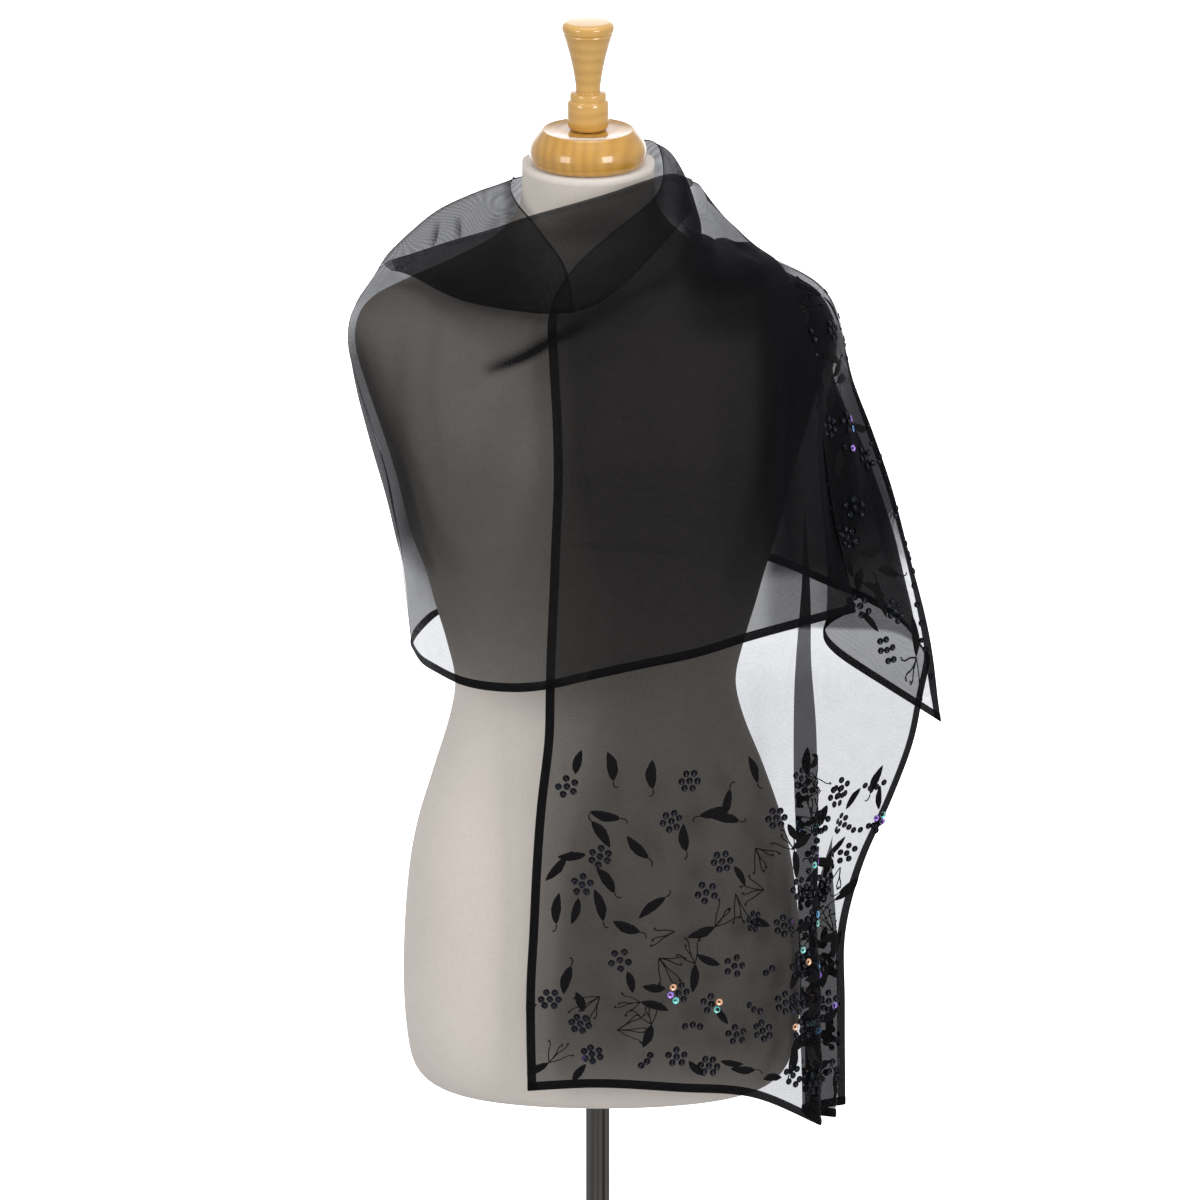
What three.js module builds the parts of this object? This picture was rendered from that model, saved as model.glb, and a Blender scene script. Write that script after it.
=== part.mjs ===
import * as THREE from 'three';

// Driving dimensions, millimetres, z up, the front faces -y.
const SHIFT_X = -40.8;          // moves the whole part so that its box is centred on the origin
const STOLE_WIDTH = 500;     // flat width of the stole
const STOLE_LENGTH = 1850;   // flat length of the stole
const CLOTH = 1.2;           // wall of the cloth
const HEM = 2.0;             // wall of a turned hem
const HEM_DEPTH = 9;         // how far a hem is turned in
const SEAM_TRIM = 0.4;       // each stretch stops this far short of its neighbour
const FOLD_STEP = 3.0;       // a stretch that folds back starts this far behind the fold
const GAP = 0.3;             // between the pieces of the stand
const OFF_FORM = { base: 8, fold: 10, inner: 13, side: 13, wrap: 18 };   // least distance of each layer from the form
const OFF_LAYER = 4.5;       // least distance between two layers that lie on each other
const BASE_R = 170;          // weighted base
const BASE_H = 12;
const HUB_R = 24;
const HUB_H = 26;
const POLE_R = 10.5;
const FORM_BOTTOM = 520;
const NECK_Z = 1320;         // middle of the sloping top of the neck
const NECK_Y = -10.5;
const NECK_X = -8;
const NECK_LEAN = 13 * Math.PI / 180;
const CAP_R = 49.5;
const CAP_TOP_R = 38.5;
const CAP_H = 30;
const FORM_SEGMENTS = 36;

// Rings of the padded form: z, half width, middle x, depth in front, depth behind, squareness.
const FORM = [
  ['bottom', 520, 120, 3, 84, 86, 2.2],
  ['bottom edge', 524, 146, 3, 100, 104, 2.2],
  ['lower roll', 540, 163, 3, 109, 114, 2.2],
  ['thigh', 575, 171, 4, 114, 120, 2.3],
  ['seat', 630, 173, 4, 116, 124, 2.3],
  ['hip', 700, 168, 3, 114, 124, 2.3],
  ['high hip', 750, 159, 2, 108, 116, 2.3],
  ['lower waist', 800, 143, 1, 100, 104, 2.25],
  ['near waist', 845, 127, -1, 93, 93, 2.2],
  ['waist', 878, 121, -2, 89, 88, 2.2],
  ['above waist', 912, 128, -2, 90, 88, 2.2],
  ['ribs', 946, 138, -2, 95, 90, 2.25],
  ['high ribs', 975, 146, -2, 101, 92, 2.3],
  ['under bust', 1010, 158, -3, 114, 94, 2.35],
  ['bust', 1052, 168, -3, 126, 97, 2.4],
  ['bust top', 1086, 178, -3, 127, 99, 2.4],
  ['armhole', 1130, 192, -4, 112, 100, 2.4],
  ['arm stub', 1165, 202, -4, 96, 99, 2.35],
  ['shoulder edge', 1190, 200, -4, 82, 96, 2.25],
  ['shoulder', 1208, 186, -4, 72, 90, 2.15],
  ['shoulder slope', 1224, 154, -5, 64, 82, 2.05],
  ['shoulder inner', 1240, 118, -5, 58, 74, 2.0],
  ['neck root', 1256, 86, -6, 54, 66, 2.0],
  ['neck low', 1272, 66, -7, 56, 58, 2.0],
  ['neck', 1290, 57, -8, 61, 51, 2.0],
  ['neck top', NECK_Z, 56, -8, 66, 46, 2.0],
];

// The long run: hem of the front end, up over the left shoulder, round the back to the right side.
const LONG_RUN = {
  columns: ['inner hem', 'flat 1', 'flat 2', 'flat 3', 'outer crest', 'fold return', 'second crest', 'second return', 'outer hem'],
  rows: [
    ['hem', [-59, -138, 549], [2, -146, 554], [69, -138, 548], [133, -112, 536], [193, -74, 500], [175, -52, 507], [207, -34, 497], [180, -14, 496], [217, 2, 499]],
    ['hip line', [-60, -140, 628], [2, -148, 630], [69, -139, 628], [133, -112, 621], [192, -74, 612], [171, -52, 606], [209, -34, 602], [180, -13, 596], [216, 3, 592]],
    ['upper hip', [-57, -141, 688], [4, -149, 690], [71, -140, 688], [133, -112, 681], [189, -74, 673], [170, -52, 668], [207, -34, 663], [182, -12, 658], [216, 4, 655]],
    ['high hip', [-54, -142, 748], [6, -149, 750], [72, -140, 748], [132, -112, 742], [188, -74, 734], [168, -52, 729], [201, -36, 725], [197, -14, 721], [232, 6, 717]],
    ['below waist', [-50, -142, 799], [9, -149, 800], [74, -139, 798], [132, -111, 793], [188, -74, 786], [166, -52, 781], [197, -40, 779], [219, -18, 774], [255, 8, 769]],
    ['waist', [-44, -142, 850], [12, -149, 851], [75, -139, 849], [132, -111, 844], [187, -74, 837], [165, -52, 833], [198, -42, 831], [236, -20, 827], [274, 10, 822]],
    ['above waist', [-43, -143, 892], [14, -149, 893], [77, -138, 891], [132, -110, 886], [184, -73, 880], [166, -52, 876], [202, -42, 875], [244, -20, 871], [282, 12, 865]],
    ['wrap hem level', [-42, -144, 926], [15, -149, 927], [77, -137, 925], [131, -109, 920], [181, -72, 914], [168, -52, 911], [205, -40, 909], [249, -16, 903], [288, 18, 893]],
    ['ribs', [-40, -145, 968], [17, -149, 968], [76, -135, 966], [130, -107, 962], [180, -72, 958], [172, -52, 957], [212, -30, 950], [263, -2, 939], [282, 36, 898]],
    ['under bust', [-38, -146, 1018], [18, -149, 1018], [78, -133, 1016], [131, -104, 1014], [175, -69, 1012], [176, -52, 1014], [233, -14, 996], [265, 20, 962], [267, 68, 915]],
    ['bust', [-36, -145, 1067], [20, -147, 1069], [80, -128, 1070], [132, -98, 1070], [169, -60, 1069], [184, -36, 1066], [232, 12, 1047], [258, 60, 990], [237, 100, 930]],
    ['above bust', [-37, -138, 1116], [20, -139, 1120], [80, -117, 1122], [133, -94, 1125], [176, -57, 1119], [187, -20, 1112], [224, 32, 1088], [239, 84, 1015], [201, 116, 943]],
    ['armhole', [-40, -116, 1164], [17, -113, 1170], [75, -91, 1175], [126, -75, 1185], [178, -50, 1181], [199, 5, 1151], [203, 54, 1124], [206, 102, 1043], [164, 126, 958]],
    ['shoulder front', [-40, -96, 1202], [14, -88, 1209], [65, -70, 1216], [110, -49, 1226], [148, -17, 1228], [186, 29, 1203], [176, 66, 1147], [166, 110, 1063], [125, 132, 969]],
    ['shoulder ridge', [-20, -78, 1237], [20, -61, 1244], [61, -47, 1251], [94, -21, 1251], [122, 9, 1241], [142, 48, 1221], [135, 84, 1151], [119, 116, 1072], [86, 136, 973]],
    ['neck side', [21, -57, 1273], [45, -41, 1273], [69, -17, 1268], [87, 9, 1257], [106, 36, 1242], [114, 70, 1217], [104, 94, 1157], [85, 122, 1074], [47, 138, 974]],
    ['neck back left', [51, -20, 1302], [56, -2, 1292], [68, 18, 1278], [79, 40, 1259], [87, 62, 1236], [87, 86, 1209], [72, 104, 1156], [50, 126, 1074], [7, 138, 972]],
    ['left blade', [49, 38, 1337], [64, 46, 1328], [78, 58, 1301], [85, 72, 1268], [86, 86, 1236], [79, 98, 1202], [58, 114, 1150], [29, 128, 1070], [-16, 138, 965]],
    ['centre back', [2, 74, 1330], [7, 80, 1313], [9, 88, 1289], [7, 98, 1258], [4, 106, 1226], [-2, 112, 1192], [-12, 120, 1140], [-33, 128, 1061], [-66, 132, 950]],
    ['right blade', [-43, 58, 1318], [-50, 66, 1308], [-64, 74, 1288], [-80, 84, 1258], [-90, 94, 1227], [-96, 102, 1193], [-97, 112, 1137], [-97, 118, 1054], [-105, 118, 934]],
    ['right shoulder back', [-60, 36, 1309], [-77, 44, 1301], [-101, 50, 1285], [-127, 58, 1257], [-147, 66, 1227], [-156, 76, 1190], [-155, 88, 1127], [-146, 94, 1039], [-137, 90, 922]],
    ['right edge back', [-66, 17, 1307], [-84, 20, 1301], [-108, 22, 1289], [-140, 24, 1271], [-167, 26, 1251], [-188, 32, 1221], [-200, 42, 1158], [-181, 48, 1044], [-157, 44, 909]],
    ['right turn', [-68, 9, 1308], [-85, 6, 1302], [-105, 5, 1295], [-136, 4, 1280], [-165, 4, 1256], [-186, 4, 1233], [-210, 4, 1173], [-181, 2, 1063], [-160, -2, 905]],
  ],
};
// Front of the right shoulder, from the ridge down to the fold hidden inside the cowl.
const RIGHT_SHOULDER = {
  columns: ['neck hem', 'neck', 'shoulder', 'mid shoulder', 'arm', 'tip'],
  rows: [
    ['ridge', [-71, 10, 1308], [-85, 6, 1302], [-105, 5, 1295], [-136, 4, 1280], [-165, 4, 1256], [-183, 3, 1236]],
    ['ridge front', [-68, -27, 1291], [-82, -36, 1278], [-104, -32, 1272], [-135, -20, 1261], [-164, -8, 1247], [-181, -2, 1234]],
    ['collar bone', [-56, -50, 1277], [-75, -63, 1255], [-100, -55, 1252], [-132, -38, 1246], [-161, -17, 1239], [-180, -5, 1233]],
    ['upper chest', [-40, -76, 1257], [-64, -82, 1231], [-95, -73, 1233], [-129, -52, 1233], [-158, -25, 1233], [-178, -8, 1232]],
    ['neckline', [-25, -92, 1236], [-56, -96, 1213], [-89, -87, 1217], [-123, -63, 1222], [-153, -32, 1227], [-175, -11, 1230]],
    ['hidden fold', [-19, -110, 1201], [-51, -108, 1202], [-86, -97, 1206], [-120, -71, 1213], [-150, -39, 1224], [-172, -14, 1230]],
  ],
};
// Inside face of the cowl, from its top fold back down to the hidden fold.
const COWL_FOLD = {
  columns: ['right tip', 'arm', 'chest 1', 'chest 2', 'chest 3', 'centre', 'left 1', 'left 2', 'left 3', 'left end'],
  rows: [
    ['top fold', [-174, -13, 1239], [-154, -26, 1245], [-124, -46, 1255], [-87, -64, 1268], [-55, -78, 1279], [-23, -86, 1288], [10, -83, 1297], [39, -68, 1306], [62, -46, 1311], [76, -28, 1306]],
    ['upper', [-173, -16, 1236], [-153, -35, 1239], [-122, -60, 1244], [-84, -80, 1250], [-50, -95, 1258], [-17, -102, 1266], [13, -94, 1278], [40, -74, 1290], [62, -48, 1298], [74, -24, 1299]],
    ['lower', [-172, -19, 1233], [-151, -41, 1231], [-121, -70, 1228], [-82, -92, 1229], [-46, -108, 1231], [-11, -114, 1238], [17, -102, 1253], [44, -82, 1271], [65, -54, 1284], [77, -28, 1292]],
    ['hidden fold', [-171, -20, 1230], [-150, -46, 1224], [-119, -79, 1212], [-81, -104, 1205], [-41, -117, 1202], [-6, -121, 1207], [23, -108, 1226], [46, -85, 1248], [67, -56, 1269], [79, -30, 1282]],
  ],
};
// The wrap across the chest, from the right side to its fold edge on the left.
const FRONT_WRAP = {
  columns: ['top fold', 'chest', 'bust', 'under bust', 'waist', 'high hip', 'hem'],
  rows: [
    ['right turn', [-184, 4, 1234], [-202, 5, 1219], [-220, 6, 1174], [-201, 4, 1097], [-180, 2, 1026], [-166, 0, 959], [-160, -2, 905]],
    ['arm front', [-174, -14, 1239], [-189, -32, 1219], [-201, -51, 1180], [-193, -53, 1103], [-175, -48, 1032], [-160, -43, 965], [-150, -42, 898]],
    ['arm inner', [-154, -30, 1246], [-163, -62, 1216], [-168, -84, 1177], [-161, -95, 1107], [-152, -93, 1036], [-146, -90, 964], [-135, -86, 897]],
    ['armhole', [-124, -50, 1257], [-129, -88, 1218], [-132, -110, 1175], [-128, -126, 1107], [-122, -124, 1036], [-117, -119, 964], [-110, -114, 890]],
    ['bust side', [-87, -68, 1269], [-89, -107, 1225], [-90, -126, 1177], [-88, -143, 1108], [-85, -143, 1038], [-82, -140, 963], [-78, -135, 889]],
    ['bust point', [-55, -82, 1280], [-54, -121, 1230], [-52, -134, 1177], [-50, -151, 1109], [-49, -153, 1039], [-47, -153, 965], [-45, -150, 893]],
    ['centre', [-23, -90, 1289], [-19, -127, 1234], [-16, -137, 1178], [-13, -155, 1110], [-10, -158, 1040], [-8, -158, 970], [-5, -157, 903]],
    ['left of centre', [10, -87, 1298], [17, -124, 1242], [23, -134, 1186], [28, -153, 1109], [32, -157, 1040], [33, -157, 974], [37, -156, 912]],
    ['left bust', [39, -72, 1307], [51, -107, 1254], [63, -122, 1197], [71, -142, 1112], [76, -146, 1038], [79, -147, 976], [82, -146, 920]],
    ['left side', [62, -50, 1312], [83, -78, 1260], [101, -100, 1202], [113, -120, 1114], [118, -126, 1040], [120, -129, 982], [124, -128, 930]],
    ['left arm', [78, -32, 1307], [109, -48, 1250], [138, -73, 1201], [152, -96, 1112], [155, -104, 1037], [158, -108, 987], [161, -107, 937]],
    ['gather', [87, -16, 1302], [127, -25, 1245], [158, -72, 1193], [177, -70, 1108], [183, -82, 1039], [187, -90, 993], [190, -90, 942]],
    ['left fold', [93, -4, 1289], [138, -9, 1244], [173, -67, 1183], [188, -52, 1103], [198, -68, 1033], [209, -76, 983], [217, -78, 947]],
  ],
};
// The end that hangs at the left side, from the shoulder down to its short hem.
const END_SIDE = {
  columns: ['under fold', 'inner fold', 'middle', 'outer hem'],
  rows: [
    ['neck side', [132, -4, 1249], [117, 6, 1249], [118, 12, 1248], [123, 20, 1249]],
    ['gather', [125, -4, 1256], [88, -33, 1255], [91, -22, 1258], [100, -8, 1259]],
    ['ridge inner', [143, -15, 1233], [142, -24, 1234], [149, -7, 1235], [156, 11, 1232]],
    ['ridge outer', [159, -42, 1205], [166, -49, 1206], [182, -35, 1207], [195, 12, 1212]],
    ['shoulder tip', [175, -60, 1169], [176, -64, 1170], [195, -43, 1171], [207, 14, 1168]],
    ['upper arm', [186, -49, 1107], [181, -52, 1104], [207, -32, 1112], [231, 4, 1101]],
    ['mid arm', [195, -61, 1045], [183, -55, 1041], [221, -38, 1046], [253, -4, 1035]],
    ['elbow', [206, -71, 991], [185, -60, 987], [231, -44, 985], [269, -12, 975]],
    ['above hem', [214, -73, 957], [183, -60, 950], [236, -46, 934], [283, -16, 926]],
    ['hem', [216, -74, 947], [178, -60, 926], [235, -44, 884], [295, -20, 843]],
  ],
};

// Turned shapes, radius and height, each from the axis out and back to it.
const CAP_PROFILE = [[0, 0], [44, 0], [48, 3], [CAP_R, 8], [CAP_R - 0.6, 14], [47, 19], [43.5, 24], [CAP_TOP_R + 1.5, CAP_H - 1], [CAP_TOP_R, CAP_H], [0, CAP_H]];
const FINIAL_PROFILE = [[0, 0], [14, 0], [16.6, 3], [17.5, 8], [17.5, 24], [15, 24.6], [15, 31.4], [10.3, 32], [12, 47], [15.6, 63], [20.4, 79], [21, 81], [20.3, 82.4], [21.9, 84], [22, 88.5], [19.5, 91.5], [17.6, 92], [0, 92]];
const BASE_PROFILE = [[0, 0], [BASE_R - 3, 0], [BASE_R, 3], [BASE_R, BASE_H - 5], [BASE_R - 5, BASE_H], [HUB_R + 4, BASE_H], [HUB_R, BASE_H + 4], [HUB_R, HUB_H - 3], [HUB_R - 3, HUB_H], [0, HUB_H]];

const V = (a) => new THREE.Vector3(a[0], a[1], a[2]);

function spline(points, t) {
  const n = points.length;
  const x = Math.min(Math.max(t, 0), 1) * (n - 1);
  const i = Math.min(Math.floor(x), n - 2);
  const w = x - i;
  const b = points[i], c = points[i + 1];
  const a = i > 0 ? points[i - 1] : b.clone().multiplyScalar(2).sub(c);
  const d = i < n - 2 ? points[i + 2] : c.clone().multiplyScalar(2).sub(b);
  const mix = (p, q, r, s) => 0.5 * (2 * q + (r - p) * w + (2 * p - 5 * q + 4 * r - s) * w * w + (3 * q - p - 3 * r + s) * w * w * w);
  return new THREE.Vector3(mix(a.x, b.x, c.x, d.x), mix(a.y, b.y, c.y, d.y), mix(a.z, b.z, c.z, d.z));
}

const even = (n, lo = 0, hi = 1) => Array.from({ length: n }, (_, i) => lo + (hi - lo) * i / (n - 1));

// Sections of a table between two of its rows, sampled at the given places.
function surface(table, us, vs) {
  const rows = table.rows.map((r) => r.slice(1).map(V));
  return us.map((u) => {
    const across = rows[0].map((_, j) => spline(rows.map((r) => r[j]), u));
    return vs.map((v) => spline(across, v));
  });
}

const chordLength = (pts) => pts.slice(1).reduce((s, p, i) => s + p.distanceTo(pts[i]), 0);

// Places across a row, with close pairs that give each hem its own step.
function acrossWithHems(n, width, first, last) {
  const vs = even(n);
  const h = HEM_DEPTH / width, e = 1.5 / width;
  const add = [];
  if (first) add.push(h, h + e);
  if (last) add.push(1 - h, 1 - h - e);
  return vs.filter((v) => !add.some((a) => Math.abs(a - v) < 0.012)).concat(add).sort((a, b) => a - b);
}

// Point of a polyline at a share of its length.
function atShare(line, share) {
  let left = share * chordLength(line);
  for (let i = 1; i < line.length; i++) {
    const d = line[i].distanceTo(line[i - 1]);
    if (left <= d || i === line.length - 1) return line[i - 1].clone().lerp(line[i], d > 0 ? Math.min(left / d, 1) : 0);
    left -= d;
  }
  return line[line.length - 1].clone();
}

// Draws one edge row of a grid onto a line, and the rows next to it part of the way.
function weld(grid, atEnd, target, reach) {
  const n = grid.length;
  const edge = grid[atEnd ? n - 1 : 0];
  const len = chordLength(edge);
  let run = 0;
  edge.map((p, j) => {
    run += j > 0 ? p.distanceTo(edge[j - 1]) : 0;
    return target(run / len, p).sub(p);
  }).forEach((move, j) => {
    for (let k = 0; k < reach; k++) {
      const w = (1 - k / reach) ** 2;
      grid[atEnd ? n - 1 - k : k][j].addScaledVector(move, w);
    }
  });
}

// Shortens a grid at one end by a distance, so that neighbours don't touch.
function trim(grid, atEnd, by) {
  const n = grid.length;
  const a = grid[atEnd ? n - 1 : 0], b = grid[atEnd ? n - 2 : 1];
  a.forEach((p, j) => {
    const d = b[j].clone().sub(p);
    p.addScaledVector(d, Math.min(by / Math.max(d.length(), 0.01), 0.5));
  });
}

// How far outside the form a point is, by the shape of its ring.
function outsideForm(p) {
  let k = 1;
  while (k < FORM.length - 1 && FORM[k][1] < p.z) k++;
  const a = FORM[k - 1], b = FORM[k];
  const w = Math.min(Math.max((p.z - a[1]) / (b[1] - a[1]), 0), 1);
  const at = (i) => a[i] + (b[i] - a[i]) * w;
  const dx = p.x - at(3), n = at(6);
  const e = (Math.abs(dx / at(2)) ** n + Math.abs(p.y / at(p.y < 0 ? 4 : 5)) ** n) ** (1 / n);
  return Math.hypot(dx, p.y) * (1 - 1 / Math.max(e, 1e-3));
}

// Moves the points of a grid out until they are clear of the form.
function clearOfForm(grid, least) {
  const step = 0.5;
  for (const row of grid) for (const p of row) for (let turn = 0; turn < 14; turn++) {
    const f = outsideForm(p);
    const slope = new THREE.Vector3(...['x', 'y', 'z'].map((k) => {
      const a = p.clone(), b = p.clone();
      a[k] += step; b[k] -= step;
      return outsideForm(a) - outsideForm(b);
    }));
    const g = Math.max(slope.length(), 1e-3);
    const short = least - f / g;
    if (short < 0.05) break;
    p.addScaledVector(slope, Math.min(short, 5) / g);
  }
  return grid;
}

function refine(grid, n) {
  const out = [];
  for (let i = 0; i < (grid.length - 1) * n + 1; i++) {
    const a = Math.min(Math.floor(i / n), grid.length - 2), w = i / n - a;
    const row = grid[a].map((p, j) => p.clone().lerp(grid[a + 1][j], w));
    const fine = [];
    for (let j = 0; j < (row.length - 1) * n + 1; j++) {
      const b = Math.min(Math.floor(j / n), row.length - 2);
      fine.push(row[b].clone().lerp(row[b + 1], j / n - b));
    }
    out.push(fine);
  }
  return out;
}

// Lifts a grid off the outer side of the layer under it.
function layOver(grid, under, least) {
  const dense = refine(under, 4);
  const normals = gridNormals(dense);
  const away = dense.flatMap((row, i) => row.map((q, j) => normals[i][j].dot(new THREE.Vector3(q.x, q.y, Math.max(q.z - 1100, 0))))).reduce((s, v) => s + v, 0);
  const sign = away < 0 ? -1 : 1;
  const flat = dense.flatMap((row, i) => row.map((q, j) => [q, normals[i][j]]));
  for (let turn = 0; turn < 2; turn++) for (const row of grid) for (const p of row) {
    let best = null, near = 24 * 24;
    for (const [q, n] of flat) {
      const d = q.distanceToSquared(p);
      if (d < near) { near = d; best = [q, n]; }
    }
    if (!best) continue;
    const n = best[1].clone().multiplyScalar(sign);
    const s = p.clone().sub(best[0]).dot(n);
    const side = Math.sqrt(Math.max(near - s * s, 0));
    if (side < 6 && s < least && s > -16) p.addScaledVector(n, least - s);
  }
  return grid;
}

function gridNormals(grid) {
  const nu = grid.length, nv = grid[0].length;
  return grid.map((row, i) => row.map((_, j) => {
    const du = grid[Math.min(i + 1, nu - 1)][j].clone().sub(grid[Math.max(i - 1, 0)][j]);
    const dv = row[Math.min(j + 1, nv - 1)].clone().sub(row[Math.max(j - 1, 0)]);
    return du.cross(dv).normalize();
  }));
}

// A closed wall on both sides of a grid; thick(i, j) gives the wall there.
function wall(grid, thick, normals) {
  const nu = grid.length, nv = grid[0].length;
  const nrm = normals || gridNormals(grid);
  const pos = [], idx = [];
  for (const side of [0.5, -0.5]) {
    for (let i = 0; i < nu; i++) for (let j = 0; j < nv; j++) {
      const p = grid[i][j].clone().addScaledVector(nrm[i][j], side * thick(i, j));
      pos.push(p.x + SHIFT_X, p.y, p.z);
    }
  }
  const top = (i, j) => i * nv + j, low = (i, j) => nu * nv + i * nv + j;
  for (let i = 0; i < nu - 1; i++) for (let j = 0; j < nv - 1; j++) {
    const short = grid[i][j].distanceTo(grid[i + 1][j + 1]) <= grid[i + 1][j].distanceTo(grid[i][j + 1]);
    const q = [[i, j], [i + 1, j], [i + 1, j + 1], [i, j + 1]];
    const tri = short ? [[0, 1, 2], [0, 2, 3]] : [[0, 1, 3], [1, 2, 3]];
    for (const t of tri) {
      idx.push(...t.map((k) => top(...q[k])));
      idx.push(...[t[0], t[2], t[1]].map((k) => low(...q[k])));
    }
  }
  const close = (a, b) => idx.push(top(...b), top(...a), low(...a), top(...b), low(...a), low(...b));
  for (let i = 0; i < nu - 1; i++) { close([i, 0], [i + 1, 0]); close([i + 1, nv - 1], [i, nv - 1]); }
  for (let j = 0; j < nv - 1; j++) { close([nu - 1, j], [nu - 1, j + 1]); close([0, j + 1], [0, j]); }
  const g = new THREE.BufferGeometry();
  g.setAttribute('position', new THREE.Float32BufferAttribute(pos, 3));
  g.setIndex(idx);
  g.computeVertexNormals();
  return g;
}

// Wall thickness that steps up where a hem is turned.
function hems(us, vs, width, length, edges) {
  const h = HEM_DEPTH / width + 1e-6, hu = HEM_DEPTH / length + 1e-6;
  return (i, j) => {
    const inHem = (edges.first && vs[j] <= h) || (edges.last && vs[j] >= 1 - h)
      || (edges.start && us[i] - us[0] <= hu * (us[us.length - 1] - us[0])) || (edges.finish && us[us.length - 1] - us[i] <= hu * (us[us.length - 1] - us[0]));
    return inHem ? HEM : CLOTH;
  };
}

function ring(row) {
  const [, z, a, cx, bf, bb, n] = row;
  const lean = Math.max(0, (z - 1256) / (NECK_Z - 1256));
  return Array.from({ length: FORM_SEGMENTS }, (_, k) => {
    const th = 2 * Math.PI * k / FORM_SEGMENTS;
    const c = Math.cos(th), s = Math.sin(th);
    const x = cx + a * Math.sign(s) * Math.abs(s) ** (2 / n);
    const y = -(c > 0 ? bf : bb) * Math.sign(c) * Math.abs(c) ** (2 / n);
    return new THREE.Vector3(x + SHIFT_X, y, z + lean * Math.tan(NECK_LEAN) * (y - NECK_Y));
  });
}

function formBody() {
  const rings = FORM.map(ring);
  const pos = [], idx = [];
  rings.flat().forEach((p) => pos.push(p.x, p.y, p.z));
  const S = FORM_SEGMENTS, n = rings.length;
  for (let i = 0; i < n - 1; i++) for (let k = 0; k < S; k++) {
    const a = i * S + k, b = i * S + (k + 1) % S, c = b + S, d = a + S;
    idx.push(a, b, c, a, c, d);
  }
  const centre = (r) => r.reduce((s, p) => s.add(p), new THREE.Vector3()).multiplyScalar(1 / S);
  const lo = centre(rings[0]), hi = centre(rings[n - 1]);
  pos.push(lo.x, lo.y, lo.z, hi.x, hi.y, hi.z);
  for (let k = 0; k < S; k++) {
    idx.push(n * S, (k + 1) % S, k);
    idx.push(n * S + 1, (n - 1) * S + k, (n - 1) * S + (k + 1) % S);
  }
  const g = new THREE.BufferGeometry();
  g.setAttribute('position', new THREE.Float32BufferAttribute(pos, 3));
  g.setIndex(idx);
  g.computeVertexNormals();
  return g;
}

function turned(profile, segments) {
  const g = new THREE.LatheGeometry(profile.map((p) => new THREE.Vector2(p[0], p[1])), segments);
  g.rotateX(Math.PI / 2);
  return g;
}

const LOOKS = {
  tulle: { color: 0x14151a, roughness: 0.8, metalness: 0.0 },
  linen: { color: 0xcfc5bb, roughness: 0.9, metalness: 0.0 },
  wood: { color: 0xc9995c, roughness: 0.35, metalness: 0.0 },
  chrome: { color: 0xc9ccd0, roughness: 0.15, metalness: 1.0 },
};

function piece(name, geometry, look) {
  const m = new THREE.Mesh(geometry, new THREE.MeshStandardMaterial(LOOKS[look]));
  m.name = name;
  return m;
}

const part = new THREE.Group();
part.name = 'evening_stole_on_form';

// stand
const base = turned(BASE_PROFILE, 48);
base.translate(SHIFT_X, 0, 0);
part.add(piece('stand_base', base, 'chrome'));
const pole = turned([[0, HUB_H + GAP], [POLE_R, HUB_H + GAP], [POLE_R, FORM_BOTTOM - GAP], [0, FORM_BOTTOM - GAP]], 24);
pole.translate(SHIFT_X, 0, 0);
part.add(piece('stand_pole', pole, 'chrome'));
part.add(piece('dress_form_torso', formBody(), 'linen'));

// neck cap and finial stand on the sloping neck
function onNeck(geometry, height) {
  geometry.translate(0, 0, height);
  geometry.rotateX(NECK_LEAN);
  geometry.translate(NECK_X + SHIFT_X, NECK_Y, NECK_Z);
  return geometry;
}
part.add(piece('neck_cap', onNeck(turned(CAP_PROFILE, 40), GAP), 'wood'));
part.add(piece('finial', onNeck(turned(FINIAL_PROFILE, 32), GAP * 2 + CAP_H), 'wood'));

// the stole
const LAST = LONG_RUN.rows.length - 1;
const U_WRAP = 7 / LAST, U_NECK = 16 / LAST;   // rows where one stretch of the long run ends
function longRun(name, from, to, nu, nv, start, finish) {
  const us = even(nu, from, to);
  if (start) us.splice(1, 0, from + (to - from) * 0.024, from + (to - from) * 0.03);
  const vs = acrossWithHems(nv, STOLE_WIDTH, true, true);
  const clear = (places) => clearOfForm(surface(LONG_RUN, places, vs), OFF_FORM.base);
  const grid = clear(us);
  const ahead = clear(us.map((u) => Math.min(u + 4e-3, 1)));
  const behind = clear(us.map((u) => Math.max(u - 4e-3, 0)));
  const normals = grid.map((row, i) => row.map((_, j) => {
    const dv = row[Math.min(j + 1, vs.length - 1)].clone().sub(row[Math.max(j - 1, 0)]);
    return ahead[i][j].clone().sub(behind[i][j]).cross(dv).normalize();
  }));
  if (!start) trim(grid, false, SEAM_TRIM);
  trim(grid, true, SEAM_TRIM);
  const thick = (i, j) => (vs[j] <= HEM_DEPTH / STOLE_WIDTH + 1e-6 || vs[j] >= 1 - HEM_DEPTH / STOLE_WIDTH - 1e-6 || (start && i < 2)) ? HEM : CLOTH;
  part.add(piece(name, wall(grid, thick, normals), 'tulle'));
  return grid;
}
longRun('stole_end_front', 0, U_WRAP, 10, 17, true);
const shoulder = longRun('stole_left_shoulder', U_WRAP, U_NECK, 19, 17, false);
longRun('stole_back_wrap', U_NECK, 1, 13, 17, false);

// line where the back turns round the right side, split at the arm corner
const turnLine = clearOfForm(surface(LONG_RUN, [1], even(65)), OFF_FORM.base)[0];
const CORNER = 40;   // of 64, the shoulder corner of that line
const neckSide = turnLine.slice(0, CORNER + 1), armSide = turnLine.slice(CORNER);

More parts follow.
